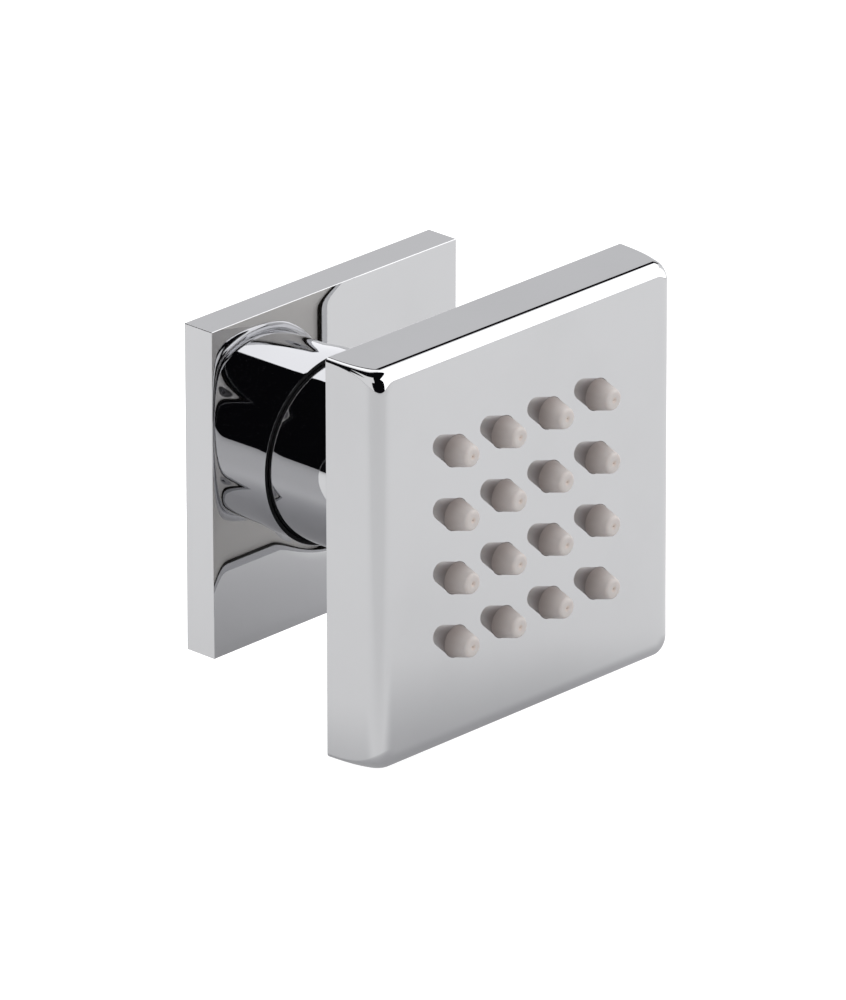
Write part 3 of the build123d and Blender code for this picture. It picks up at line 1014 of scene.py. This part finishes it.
@dataclass
class InletNipple:
    """Brass nipple with a pipe thread behind the wall and a grooved spigot for the neck."""

    brass: Finish
    pitch: float = 1.814
    thread_depth: float = 1.162
    crest: float = 0.1              # share of a pitch that is flat, at crest and root
    run_out: float = 1.6
    bore: float = 4.5
    insert_radius: float = 7.5
    insert_depth: float = 5.2
    spigot: float = 8.0
    shoulder: float = 2.0
    chamfer: float = 1.2
    ring_width: float = 1.8
    groove_depth: float = 1.1
    clip_groove: float = 0.6
    fixed_gap: float = 0.03
    edge: float = 0.1
    groove_edge: float = 0.05
    spigot_edge: float = 0.15
    shoulder_edge: float = 0.2
    thread_radius: float = 10.4775
    key_depth: float = 6.0
    key_flats: float = 10.0
    around: int = 120
    per_turn: int = 18
    box: Span = box_of("inlet_nipple")
    rings: Span = box_of("spigot_o_rings")
    clip: Span = box_of("retaining_ring")

    def thread(self) -> Patch:
        """Pipe thread as a height field over angle and depth.

        The radius is the crest's less the depth of the form, 0.5 - 0.5 cos(pi w), where w rises and
        falls once a pitch along the helix, faded out over a short stretch at each end.
        """
        start = self.box.rear + self.chamfer
        count = int((-start) / self.pitch * self.per_turn)
        depth = np.linspace(start, 0.0, count)[:, None]
        angle = (math.pi / 4 + 2 * math.pi * np.arange(self.around) / self.around)[None]
        phase = np.mod(depth / self.pitch + angle / (2 * math.pi), 1.0)
        flank = np.clip((1.0 - np.abs(2.0 * phase - 1.0) - self.crest) / (1.0 - 2.0 * self.crest), 0.0, 1.0)
        fade = np.clip(np.minimum(depth - start, -depth) / self.run_out, 0.0, 1.0)
        cut = self.thread_depth * fade * (0.5 - 0.5 * np.cos(math.pi * flank))
        radius = self.thread_radius - cut
        step = 2 * math.pi / self.around
        slope_round = (np.roll(radius, -1, axis=1) - np.roll(radius, 1, axis=1)) / (2 * step)
        slope_along = np.gradient(radius, depth[:, 0], axis=0)
        cos, sin = np.cos(angle), np.sin(angle)
        points = np.stack([radius * cos, -depth + 0.0 * cos, radius * sin], axis=-1)
        lag = slope_round / radius
        normals = np.stack([cos + lag * sin, slope_along, sin - lag * cos], axis=-1)
        return Patch(points, normals)

    def turned_runs(self) -> list[Run]:
        """All of the nipple but its thread, as stretches of one closed profile."""
        rear = self.box.rear
        front = self.box.front
        edge = self.edge
        gap = self.fixed_gap
        groove = self.spigot - self.groove_depth
        land = self.rings.front - self.rings.rear - 2 * (self.ring_width - 2 * gap) - 2 * gap
        first = self.rings.rear - gap
        second = first + self.ring_width + land
        outline = [
            (self.thread_radius, rear + self.chamfer, 0.0), (self.thread_radius, 0.0, 0.0),
            (self.box.half, 0.0, self.shoulder_edge), (self.box.half, self.shoulder, self.shoulder_edge),
            (self.spigot, self.shoulder, edge),
        ]
        for groove_rear, groove_front, floor in (
            (first, first + self.ring_width, groove),
            (second, second + self.ring_width, groove),
            (self.clip.rear - gap, self.clip.front + gap, self.spigot - self.clip_groove),
        ):
            outline += [
                (self.spigot, groove_rear, self.groove_edge), (floor, groove_rear, self.groove_edge),
                (floor, groove_front, self.groove_edge), (self.spigot, groove_front, self.groove_edge),
            ]
        key_r = self.key_flats / 2
        key_rear = front - self.key_depth
        insert_front = rear + self.insert_depth
        outline += [
            (self.spigot, front, self.spigot_edge), (key_r, front, edge), (key_r, key_rear, 0.0),
            (self.bore, key_rear, edge), (self.bore, insert_front, edge),
            (self.insert_radius, insert_front, 0.0), (self.insert_radius, rear, edge),
            (self.thread_radius - self.chamfer, rear, edge),
        ]
        return rounded_runs(outline)[1:]

    def make(self) -> None:
        """Builds and dresses the nipple."""
        surface = Surface(self.thread(), *lathe(self.turned_runs(), self.around))
        stand_for(surface.build("threaded_nipple"), "inlet_nipple", Body.BASE, self.brass)


# Neck


@dataclass
class TurningNeck:
    """Mirror sleeve that turns on the nipple and holds the ball by two pins, with a band over their ends."""

    chrome: Finish
    pin_finish: Finish
    edge: float = 0.4
    front_step: float = 0.6
    front_edge: float = 0.3
    band_edge: float = 1.12
    mouth: float = 0.8
    fixed_gap: float = 0.03
    groove: float = 0.8
    web: float = 7.0
    web_bore: float = 8.05
    shoulder_lip: float = 1.0
    journal: float = 1.8
    journal_reach: float = 4.55     # from the bearing's outside to the pin's inner end
    journal_edge: float = 0.2
    pin_edge: float = 0.25
    soft_edge: float = 0.1
    groove_edge: float = 0.03
    seat_edge: float = 0.05
    web_edge: float = 0.2
    pin_around: int = 72
    around: int = 240
    box: Span = box_of("neck_sleeve")
    bearing: Span = box_of("front_bearing")
    snap_ring: Span = box_of("bearing_snap_ring")
    seat_ring: Span = box_of("seat_o_ring")
    pins: Span = box_of("pivot_pins")
    band: Span = box_of("neck_band")

    def build_sleeve(self) -> bpy.types.Object:
        """Sleeve turned from one profile: step, mouth, snap ring groove, seat shoulder and web."""
        outer = self.box.half
        front = outer - self.front_step
        cavity = self.bearing.half + self.fixed_gap
        grooved = cavity + self.groove
        shoulder = cavity - self.shoulder_lip
        web_front = self.box.rear + self.web
        ring_front = self.snap_ring.front + self.fixed_gap
        soft = self.soft_edge
        outline = [
            (self.web_bore, self.box.rear, soft), (outer, self.box.rear, self.edge),
            (outer, self.band.front, soft), (front, self.band.front, 0.0),
            (front, self.box.front, self.front_edge),
            (cavity + self.mouth, self.box.front, soft), (cavity, self.box.front - self.mouth, soft),
            (cavity, ring_front, self.groove_edge), (grooved, ring_front, 0.0),
            (grooved, self.bearing.front, 0.0), (cavity, self.bearing.front, self.groove_edge),
            (cavity, self.seat_ring.rear, self.seat_edge), (shoulder, self.seat_ring.rear, soft),
            (shoulder, web_front, self.web_edge), (self.web_bore, web_front, soft),
        ]
        return turned("mirror_neck", outline, self.around)

    def build_pins(self) -> bpy.types.Object:
        """Two pins turned about the pivot: a wide head in the sleeve's wall and a thin journal."""
        head = float(self.pins.high[2] - self.pins.low[2]) / 2
        pivot = (float(self.pins.high[1] + self.pins.low[1]) / 2, 0.0)
        tip = math.sqrt(self.pins.half**2 - head**2)
        waist = self.bearing.half
        inner = waist - self.journal_reach
        outline = np.array([
            (0.0, inner, 0.0), (self.journal, inner, self.journal_edge), (self.journal, waist, 0.0),
            (head, waist, self.soft_edge), (head, tip, self.pin_edge), (0.0, tip, 0.0),
        ])
        runs = rounded_runs(outline[::-1])[:-1]
        right = [Run(run.points, -run.normals) for run in runs]
        patches = lathe(right, self.pin_around, Axle.PIN, pivot)
        mirror = np.array([-1.0, 1.0, 1.0])
        left = [Patch(patch.points * mirror, patch.normals * mirror) for patch in patches]
        return Surface(*patches, *left).build("pivot_pin_pair")

    def build_band(self) -> bpy.types.Object:
        """Thin ring with rounded edges, pressed over the pins' ends."""
        bore = self.box.half + self.fixed_gap
        outline = [
            (bore, self.band.rear, 0.0), (self.band.half, self.band.rear, self.band_edge),
            (self.band.half, self.band.front, self.band_edge), (bore, self.band.front, 0.0),
        ]
        return turned("mirror_neck_band", outline, self.around)

    def make(self) -> None:
        """Builds and dresses the sleeve, the pins and the band."""
        stand_for(self.build_sleeve(), "neck_sleeve", Body.NECK, self.chrome)
        stand_for(self.build_pins(), "pivot_pins", Body.NECK, self.pin_finish)
        stand_for(self.build_band(), "neck_band", Body.NECK, self.chrome)


# Head


@dataclass
class BallStem:
    """Mirror ball with a flat back and a bored stem that carries the head."""

    chrome: Finish
    stem: float = 6.5
    bore: float = 4.0
    thread: float = 6.0
    collar: float = 8.4
    collar_thickness: float = 2.0
    ring_gap: float = 0.4
    ring_width: float = 1.2
    ring_depth: float = 1.0
    fillet: float = 0.5
    edge: float = 0.2
    rim_edge: float = 0.1
    bore_edge: float = 0.3
    arc_points: int = 49
    around: int = 160
    box: Span = box_of("ball_stem")
    plate: Span = box_of("back_plate")

    def runs(self) -> list[Run]:
        """Ball as an arc of normals about the pivot, then the stem, collar, seal groove and bore."""
        ball = self.box.half
        pivot = -frame["joints"][-1]["pos_m"][1] / MM
        rear = self.box.rear
        start = math.asin((rear - pivot) / ball)
        end = math.acos(self.stem / ball)
        angle = np.linspace(start, end, self.arc_points)
        normals = np.stack([np.cos(angle), np.sin(angle)], axis=1)
        sphere = Run(normals * ball + np.array([0.0, pivot]), normals)
        neck = pivot + ball * math.sin(end)
        back = self.plate.rear
        collar_rear = back - self.collar_thickness
        ring_inner = self.thread + self.ring_gap
        ring_outer = ring_inner + self.ring_width
        ring_floor = back - self.ring_depth
        outline = [
            (ball * math.cos(start), rear, 0.0), (self.stem, neck, 0.0),
            (self.stem, collar_rear, self.fillet), (self.collar, collar_rear, self.edge),
            (self.collar, back, self.rim_edge), (ring_outer, back, 0.0), (ring_outer, ring_floor, 0.0),
            (ring_inner, ring_floor, 0.0), (ring_inner, back, 0.0),
            (self.thread, back, 0.0), (self.thread, self.box.front, self.edge),
            (self.bore, self.box.front, self.edge), (self.bore, rear, self.bore_edge),
        ]
        return [sphere, *rounded_runs(outline)[1:]]

    def make(self) -> None:
        """Builds and dresses the ball."""
        surface = Surface(*lathe(self.runs(), self.around))
        stand_for(surface.build("mirror_ball_stem"), "ball_stem", Body.HEAD, self.chrome)


@dataclass
class NozzleGrid:
    """Places of the nozzles, each in the middle of a square cell of the face."""

    rows: int = 4
    pitch: float = 9.55
    steps: int = 12

    @property
    def half(self) -> float:
        """Half side of the square that the cells fill."""
        return self.rows * self.pitch / 2

    @property
    def border(self) -> Loop:
        """Outline of all the cells, with a point at each of theirs."""
        return even_square(self.half, self.rows * self.steps)

    @property
    def count(self) -> int:
        """Points in the outline of one cell."""
        return 4 * self.steps

    def centres(self) -> list[Pair]:
        """X and Z of the nozzles."""
        line = (np.arange(self.rows) - (self.rows - 1) / 2) * self.pitch
        across, up = np.meshgrid(line, line)
        return list(zip(across.ravel().tolist(), up.ravel().tolist()))

    def panel(self, hole: float, depth: float, facing: Facing) -> list[Patch]:
        """Flat panel with a round hole in each cell."""
        half = self.pitch / 2
        return [
            flat(circle(hole, self.count, centre), even_square(half, self.steps, centre), depth, facing)
            for centre in self.centres()
        ]

    def repeat(self, runs: Sequence[Run]) -> list[Patch]:
        """A turned profile at each nozzle."""
        return [patch for centre in self.centres() for patch in lathe(runs, self.count, centre=centre)]


@dataclass
class SprayHead:
    """Square mirror shell with soft edges and its mat of silicone nozzles."""

    chrome: Finish
    silicone: Finish
    grid: NozzleGrid = field(default_factory=NozzleGrid)
    draft: float = 1.0
    back_corner: float = 0.6
    front_corner: float = 3.4
    corner_power: float = 3.0
    corner_flow: float = 0.45
    front_edge: float = 2.8
    edge_pull: float = 0.38
    back_edge: float = 0.15
    face_wall: float = 2.0
    side_wall: float = 1.2
    inner_corner: float = 1.6
    hole_gap: float = 0.03
    hole_edge: float = 0.05
    nozzle_root: float = 2.35
    flank_end: float = 1.58
    flank_height: float = 2.85
    tip_pull: Pair = (0.3, 0.34)    # straight pull of the round tip's curve at flank and land
    dimple_land: float = 0.95
    dimple_mid: float = 0.5
    dimple_pull: float = 0.22
    dimple_sag: float = 0.02
    dimple_depth: float = 0.16
    outlet: float = 0.08
    outlet_depth: float = 0.9
    channel: float = 0.4
    channel_depth: float = 1.2
    boss: float = 2.8
    boss_bore: float = 1.53
    boss_inset: float = 3.5
    boss_edge: float = 0.1
    boss_sink: float = 0.2
    beyond: float = 1.0             # closes the holes' profile outside them
    arc: int = 10
    side: int = 28
    side_rows: int = 14
    edge_steps: int = 24
    bevel_steps: int = 4
    dimple_steps: int = 10
    boss_around: int = 32
    box: Span = box_of("face_shell")
    mat: Span = box_of("nozzle_mat")
    plate: Span = box_of("back_plate")

    def squares(self, half: Any, corner: Any) -> Loop:
        """Square outlines in step with the border of the nozzle cells."""
        return rounded_squares(half, corner, self.arc, self.side)

    def outlines(self, depth: np.ndarray, inset: np.ndarray) -> Loop:
        """Outlines of the skin at some depths, each drawn in by an inset."""
        along = depth - self.box.rear
        share = along / (self.box.front - self.box.rear)
        half = self.box.half - along * math.tan(math.radians(self.draft))
        corner = self.back_corner + (self.front_corner - self.back_corner) * share**self.corner_power
        return self.squares(half - inset, corner - inset)

    def skin(self, depth: np.ndarray, inset: np.ndarray, advance: np.ndarray, closing: np.ndarray) -> Patch:
        """Rows of the outer skin.

        Half side and corner radius follow the depth and the inset. From their rates h' and c' along
        the rows, the normal is the outline's normal u times the advance, with
        -((h' - c')(|ux| + |uz|) + c') along the depth. The polish runs from top and bottom into the
        corners: u's part along X is taken times the corner flow, and u made a unit again.

        Args:
            depth: Depth of each row.
            inset: How far each row is drawn in by the front edge.
            advance: Rate of the depth along the rows.
            closing: Rate of the inset along the rows.

        Returns:
            The skin.
        """
        length = self.box.front - self.box.rear
        loops = self.outlines(depth, inset)
        share = (depth - self.box.rear) / length
        growth = (self.front_corner - self.back_corner) / length
        swell = growth * self.corner_power * share**(self.corner_power - 1)
        half_rate = (-math.tan(math.radians(self.draft)) * advance - closing)[:, None]
        corner_rate = (swell * advance - closing)[:, None]
        plan = loops.normals * np.array([self.corner_flow, 1.0])
        plan /= np.linalg.norm(plan, axis=-1, keepdims=True)
        lean = -((half_rate - corner_rate) * np.abs(plan).sum(axis=-1) + corner_rate)
        return Patch(loops.lifted(depth), in_space(plan * advance[:, None, None], lean))

    def outer_skin(self) -> list[Patch]:
        """Drafted sides, the soft front edge and the small edge at the back.

        The front edge is a quintic Bezier whose first and last three control points lie in line, so
        its curvature starts from nothing at the sides and ends in nothing at the face.
        """
        reach = self.front_edge
        pull = self.edge_pull * reach
        controls = [
            (0.0, 0.0), (0.0, pull), (0.0, 2 * pull),
            (reach - 2 * pull, reach), (reach - pull, reach), (reach, reach),
        ]
        curve, rate = bezier(controls, self.edge_steps)
        edge = self.skin(self.box.front - reach + curve[:, 1], curve[:, 0], rate[:, 1], rate[:, 0])
        depth = np.linspace(self.box.rear + self.back_edge, self.box.front - reach, self.side_rows + 1)
        still = np.zeros_like(depth)
        return [edge, self.skin(depth, still, still + 1.0, still), self.back_bevel()]

    def face_outline(self) -> Loop:
        """Outline of the flat face, where the front edge ends."""
        return self.outlines(np.array([self.box.front]), np.array([self.front_edge]))

    def bevel_outlines(self, turn: np.ndarray) -> Loop:
        """Outlines of the small back edge, by the angle that its normal has turned."""
        inset = self.back_edge * (1.0 - np.cos(turn))
        return self.outlines(np.full_like(turn, self.box.rear + self.back_edge), inset)

    def back_bevel(self) -> Patch:
        """Small round edge between the sides and the back rim."""
        turn = np.linspace(0.0, math.pi / 2, self.bevel_steps + 1)
        loops = self.bevel_outlines(turn)
        plan = loops.normals * np.cos(turn)[:, None, None]
        depths = self.box.rear + self.back_edge * (1.0 - np.sin(turn))
        return Patch(loops.lifted(depths), in_space(plan, -np.sin(turn)[:, None]))

    def build_shell(self) -> bpy.types.Object:
        """Closed shell: outer skin, pierced face, hole walls, rim, cavity and screw bosses."""
        front = self.box.front
        inner = front - self.face_wall
        cavity_half = self.box.half - self.side_wall
        hole = self.nozzle_root + self.hole_gap
        cavity = self.squares([cavity_half] * 2, self.inner_corner)
        rim = self.bevel_outlines(np.array([math.pi / 2]))
        outside = hole + self.beyond
        bore = [
            (outside, front, 0.0), (hole, front, self.hole_edge), (hole, inner, 0.0), (outside, inner, 0.0),
        ]
        surface = Surface(
            *self.outer_skin(),
            *self.grid.panel(hole + self.hole_edge, front, Facing.FRONT),
            flat(self.grid.border, self.face_outline(), front, Facing.FRONT),
            *self.grid.repeat(rounded_runs(bore)[1:3]),
            *self.grid.panel(hole, inner, Facing.BACK),
            flat(self.grid.border, cavity.last(), inner, Facing.BACK),
            wall(cavity, [self.box.rear, inner], inward=True),
            flat(cavity.last(), rim, self.box.rear, Facing.BACK),
        )
        boss_front = inner + self.boss_sink
        post = [
            (self.boss_bore, self.plate.front, self.boss_edge), (self.boss, self.plate.front, self.boss_edge),
            (self.boss, boss_front, 0.0), (self.boss_bore, boss_front, 0.0),
        ]
        offset = cavity_half - self.boss_inset
        for centre in ((offset, offset), (offset, -offset), (-offset, offset), (-offset, -offset)):
            surface.add(*lathe(rounded_runs(post), self.boss_around, centre=centre))
        return surface.build("mirror_face_shell")

    def nozzle_runs(self) -> list[Run]:
        """One nozzle: stub through the face, straight flank, round tip, dimple and outlet."""
        face = self.box.front
        root = self.nozzle_root
        tip = self.mat.front
        land = self.dimple_land
        shoulder = face + self.flank_height
        slope = (root - self.flank_end) / self.flank_height
        lean = np.array([(1.0, slope), (1.0, slope)]) / math.hypot(1.0, slope)
        leave, arrive = self.tip_pull
        round_in = (self.flank_end - slope * leave, shoulder + leave)
        throat = (self.outlet, tip - self.dimple_depth)
        lip = (self.outlet + self.dimple_pull, tip - self.dimple_sag)
        narrow = (self.outlet, tip - self.outlet_depth)
        widen = (self.channel, tip - self.channel_depth)
        return [
            Run(np.array([(root, face - self.face_wall), (root, face)]), np.array([(1.0, 0.0), (1.0, 0.0)])),
            Run(np.array([(root, face), (self.flank_end, shoulder)]), lean),
            bezier_run([(self.flank_end, shoulder), round_in, (land + arrive, tip), (land, tip)]),
            bezier_run([(land, tip), (self.dimple_mid, tip), lip, throat], self.dimple_steps),
            bezier_run([throat, narrow, widen, (self.channel, self.mat.rear)]),
        ]

    def build_mat(self) -> bpy.types.Object:
        """Silicone sheet behind the face with all its nozzles."""
        half = self.mat.half
        rear = self.mat.rear
        sheet = self.box.front - self.face_wall
        edge = even_square(half, self.grid.rows * self.grid.steps)
        both = Loop(np.concatenate([edge.points] * 2), np.concatenate([edge.normals] * 2))
        surface = Surface(
            *self.grid.panel(self.nozzle_root, sheet, Facing.FRONT),
            flat(self.grid.border, edge, sheet, Facing.FRONT),
            wall(both, [rear, sheet]),
            *self.grid.panel(self.channel, rear, Facing.BACK),
            flat(self.grid.border, edge, rear, Facing.BACK),
            *self.grid.repeat(self.nozzle_runs()),
        )
        return surface.build("silicone_nozzle_mat")

    def make(self) -> None:
        """Builds and dresses the shell and the mat."""
        stand_for(self.build_shell(), "face_shell", Body.HEAD, self.chrome)
        stand_for(self.build_mat(), "nozzle_mat", Body.HEAD, self.silicone)


# Studio


@dataclass
class Direction:
    """A direction from the object: degrees right of the wall's inward normal, and degrees up."""

    azimuth: float
    elevation: float

    @property
    def vector(self) -> Vector:
        """Unit vector of the direction."""
        turn = math.radians(self.azimuth)
        lift = math.radians(self.elevation)
        return Vector((math.sin(turn) * math.cos(lift), math.cos(turn) * math.cos(lift), math.sin(lift)))


@dataclass
class Softbox:
    """Rectangular lamp that looks at the object, in metres, with its brightness as radiance.

    Mirrors don't show it, so that only cards and room shape the reflections.
    """

    name: str
    towards: Direction
    distance: float
    width: float
    height: float
    radiance: float

    def make(self) -> None:
        """Adds the lamp, with the power that gives its radiance: pi times radiance times area."""
        lamp = bpy.data.lights.new(self.name, "AREA")
        lamp.shape = "RECTANGLE"
        lamp.size = self.width
        lamp.size_y = self.height
        lamp.energy = math.pi * self.radiance * self.width * self.height
        made = add_object(self.name, lamp)
        back = self.towards.vector
        turn = back.to_track_quat("Z", "Y").to_matrix().to_4x4()
        made.matrix_world = Matrix.Translation(back * self.distance) @ turn
        made.visible_glossy = False
        LOG.info("lamp %s", self.name)


@dataclass
class Card:
    """Curved card that only reflections see: a piece of a sphere about the object, in degrees."""

    name: str
    azimuths: Pair
    elevations: Pair
    tone: Colour
    distance: float = 1.1
    steps: int = 24

    def make(self) -> None:
        """Adds the card, at (sin a cos e, cos a cos e, sin e) times its distance."""
        azimuth, elevation = np.meshgrid(
            np.radians(np.linspace(*self.azimuths, self.steps + 1)),
            np.radians(np.linspace(*self.elevations, self.steps + 1)),
        )
        level = np.cos(elevation)
        points = np.stack([np.sin(azimuth) * level, np.cos(azimuth) * level, np.sin(elevation)], axis=-1)
        index = np.arange(points.shape[0] * points.shape[1]).reshape(points.shape[:2])
        quads = np.stack([index[:-1, :-1], index[:-1, 1:], index[1:, 1:], index[1:, :-1]], axis=-1)
        mesh = bpy.data.meshes.new(self.name)
        mesh.from_pydata((points.reshape(-1, 3) * self.distance).tolist(), [], quads.reshape(-1, 4).tolist())
        paper, graph = new_material(self.name)
        glow = graph.node("ShaderNodeEmission", None, {"Color": _paint(self.tone)})
        graph.node("ShaderNodeOutputMaterial", None, {"Surface": glow})
        mesh.materials.append(paper)
        made = add_object(self.name, mesh)
        made.visible_camera = False
        made.visible_diffuse = False
        made.visible_shadow = False
        LOG.info("card %s", self.name)


@dataclass
class Studio:
    """Pale floor, soft lamps, a white room and the camera of the photograph."""

    floor_drop: float = 16.0
    floor_size: float = 3.0
    floor_colour: Colour = (0.72, 0.72, 0.72)
    # painted shadow: a darker floor colour round a point beneath the object
    painted_shadow_colour: Colour = (0.42, 0.42, 0.43)
    painted_shadow_middle: Pair = (5.0, 18.0)       # X and depth of the middle of the darker sheet
    painted_shadow_reach: Pair = (36.0, 84.0)
    floor_fill: float = 0.12
    viewer_fill: float = 0.75
    near_shade: float = 0.2
    near_reach: Pair = (0.03, 0.2)  # in metres towards the camera
    room_fill: float = 0.6
    azimuth: float = -46.2434
    elevation: float = 22.4759
    roll: float = -0.1307
    distance: float = 1955.116
    focal_pixels: float = 13929.8
    aim_depth: float = 25.0
    aim_right: float = -1.9329
    aim_up: float = -2.1352
    clip: Pair = (0.1, 20.0)

    def lamps(self) -> list[Softbox]:
        """Softboxes from above, from the right and from behind."""
        return [
            Softbox("overhead_softbox", Direction(60.0, 80.0), 0.95, 1.2, 1.2, 1.07),
            Softbox("right_softbox", Direction(130.0, 36.0), 1.0, 0.9, 0.5, 1.7),
            Softbox("back_softbox", Direction(-35.0, 42.0), 1.0, 0.6, 0.6, 2.2),
        ]

    def cards(self) -> list[Card]:
        """Dark room on the left, in front and above, and pale walls and white strips on the right."""
        dark = (0.004, 0.004, 0.005)
        return [
            Card("dark_back", (-60.0, 3.0), (-1.8, 60.0), dark),
            Card("dark_front", (161.0, 244.0), (-1.8, 60.0), dark),
            Card("dark_above", (-20.0, 215.0), (57.0, 89.0), dark),
            Card("dark_gap", (34.0, 74.0), (28.5, 35.5), dark),
            Card("pale_wall", (14.0, 84.0), (17.0, 28.5), (0.76, 0.76, 0.77)),
            Card("low_wall", (14.0, 84.0), (-1.8, 17.0), (1.3, 1.3, 1.32)),
            Card("back_strip", (10.0, 60.0), (38.0, 52.0), (1.6, 1.6, 1.6)),
            Card("top_strip", (60.0, 104.0), (36.0, 57.0), (1.8, 1.8, 1.8)),
            Card("front_strip", (104.0, 161.0), (-1.8, 57.0), (2.0, 2.0, 2.0)),
        ]

    def floor(self) -> None:
        """Pale floor: a dull sheet with a painted shadow beneath the object, and a glow that differs by who
        looks.

        The camera sees it brightened, and mirrors see a faint glow that fades towards the camera.
        """
        half = self.floor_size / 2
        level = CAD_BOX[0].z - self.floor_drop * MM
        mesh = bpy.data.meshes.new("studio_floor")
        corners = [(-half, -half, level), (half, -half, level), (half, half, level), (-half, half, level)]
        mesh.from_pydata(corners, [], [(0, 1, 2, 3)])
        paper, graph = new_material("floor_paper")
        # painted shadow, faded out between its two reaches
        aside = graph.axis("X") - self.painted_shadow_middle[0] * MM
        ahead = graph.axis("Y") + self.painted_shadow_middle[1] * MM
        near, far = ((reach * MM)**2 for reach in self.painted_shadow_reach)
        clear = (aside * aside + ahead * ahead).ease(near, far)
        colour = graph.mix(clear, self.painted_shadow_colour, self.floor_colour)
        sheet = graph.node("ShaderNodeBsdfDiffuse", None, {"Color": colour})
        towards = math.radians(self.azimuth)
        nearer = graph.axis("X") * math.sin(towards) - graph.axis("Y") * math.cos(towards)
        mirrored = self.floor_fill - self.near_shade * nearer.ease(*self.near_reach)
        fill = graph.rays("Is Camera Ray") * self.viewer_fill
        fill = fill + graph.rays("Is Glossy Ray", "Is Transmission Ray") * mirrored
        tone = graph.mix(fill, (0.0, 0.0, 0.0), (1.0, 1.0, 1.0))
        glow = graph.node("ShaderNodeEmission", None, {"Color": tone})
        both = graph.node("ShaderNodeAddShader", None, {0: sheet, 1: glow})
        graph.node("ShaderNodeOutputMaterial", None, {"Surface": both})
        mesh.materials.append(paper)
        add_object("studio_floor", mesh)

    def room(self) -> None:
        """White room for what is seen or mirrored, and a weaker even light for dull surfaces."""
        world = bpy.data.worlds.new("white_room")
        world.use_nodes = True
        graph = Graph(world.node_tree)
        white, fill = (
            graph.node("ShaderNodeBackground", None, {"Strength": strength, "Color": (1.0, 1.0, 1.0, 1.0)})
            for strength in (1.0, self.room_fill)
        )
        seen = graph.rays("Is Camera Ray", "Is Glossy Ray", "Is Transmission Ray")
        mixed = graph.node("ShaderNodeMixShader", None, {0: seen, 1: fill, 2: white})
        graph.node("ShaderNodeOutputWorld", None, {"Surface": mixed})
        bpy.context.scene.world = world

    def camera(self) -> None:
        """Camera at the photograph's place, with its roll about the view axis."""
        turn = math.radians(self.azimuth)
        lean = math.radians(self.roll)
        back = Direction(180.0 - self.azimuth, self.elevation).vector
        level = Vector((math.cos(turn), math.sin(turn), 0.0))
        upright = back.cross(level)
        right = level * math.cos(lean) + upright * math.sin(lean)
        up = upright * math.cos(lean) - level * math.sin(lean)
        target = Vector((0.0, -self.aim_depth, 0.0)) + right * self.aim_right + up * self.aim_up
        eye = (target + back * self.distance) * MM
        data = bpy.data.cameras.new("photo_camera")
        data.sensor_width = SENSOR
        data.lens = self.focal_pixels / IMAGE_HEIGHT * SENSOR
        data.clip_start, data.clip_end = self.clip
        made = add_object("photo_camera", data)
        made.matrix_world = Matrix.Translation(eye) @ Matrix((right, up, back)).transposed().to_4x4()
        bpy.context.scene.camera = made

    def make(self) -> None:
        """Builds the stage, the lamps and the camera."""
        bpy.context.scene.view_settings.view_transform = "Standard"
        self.floor()
        self.room()
        for lamp in self.lamps():
            lamp.make()
        for card in self.cards():
            card.make()
        self.camera()


def main() -> None:
    """Builds the finishes, dresses the part piece by piece, and sets the stage."""
    logging.basicConfig(level=logging.INFO, format="%(name)s: %(message)s")
    chrome = PolishedChrome("mirror_chrome", (0.62, 0.622, 0.636))
    pin_chrome = TurnedMetal(
        "pin_end_chrome", (0.80, 0.80, 0.81), roughness=0.06, dulling=0.05, along=(1.0, 0.02, 0.02),
    )
    brass = TurnedMetal("turned_brass", (0.72, 0.53, 0.26))
    steel = TurnedMetal("spring_steel", (0.56, 0.56, 0.57), roughness=0.28)
    rubber = SoftRubber("black_seal_rubber", (0.008, 0.008, 0.009), roughness=0.7, specular=0.15)
    foam = SoftRubber(
        "wall_foam", (0.045, 0.045, 0.05), roughness=0.75, pore_scale=1500.0, pore_height=0.00012,
    )
    acetal = MouldedPlastic("white_acetal", (0.80, 0.80, 0.77))
    cover = MouldedPlastic("cover_plastic_skin", (0.82, 0.80, 0.77), roughness=0.45)
    blue_acetal = MouldedPlastic("regulator_acetal", (0.10, 0.24, 0.48))
    shell = Span.of("face_shell")
    # the shell's hollow gets near-black painted shade
    shell_chrome = ShadedHollowChrome(
        "shaded_hollow_chrome",
        chrome.colour,
        hollow_half=(shell.half - SprayHead.side_wall) * MM,
        hollow_front=(shell.front - SprayHead.face_wall) * MM,
    )
    face_front = shell.front * MM
    tip_front = Span.of("nozzle_mat").front * MM
    grid = NozzleGrid()
    # the silicone's root colour, darkened as painted shade
    silicone = NozzleSilicone(
        "nozzle_silicone_skin", (0.36, 0.31, 0.295), root=face_front, tip=tip_front, pitch=grid.pitch * MM,
    )

    WallFlange(chrome, rubber).make()
    InletNipple(brass).make()
    TurningNeck(chrome, pin_chrome).make()
    BallStem(chrome).make()
    SprayHead(shell_chrome, silicone, grid).make()
    kept: list[tuple[Slot, Finish, list[str]]] = [
        (Slot.FOAM, foam, ["wall_gasket"]),
        (Slot.RUBBER, rubber, ["spigot_o_rings", "seat_o_ring", "stem_o_ring", "chamber_gasket"]),
        (Slot.STEEL, steel, ["retaining_ring", "bearing_snap_ring", "cover_screws", "inlet_filter"]),
        (Slot.ACETAL, acetal, ["ball_seat", "front_bearing", "pressure_plate"]),
        (Slot.REGULATOR, blue_acetal, ["flow_regulator"]),
        (Slot.BRASS, brass, ["stem_nut"]),
        (Slot.COVER, cover, ["back_plate"]),
    ]
    for slot, finish, nodes in kept:
        for node in nodes:
            keep_node(node, finish)
    Studio().make()


if __name__ == "__main__":
    main()
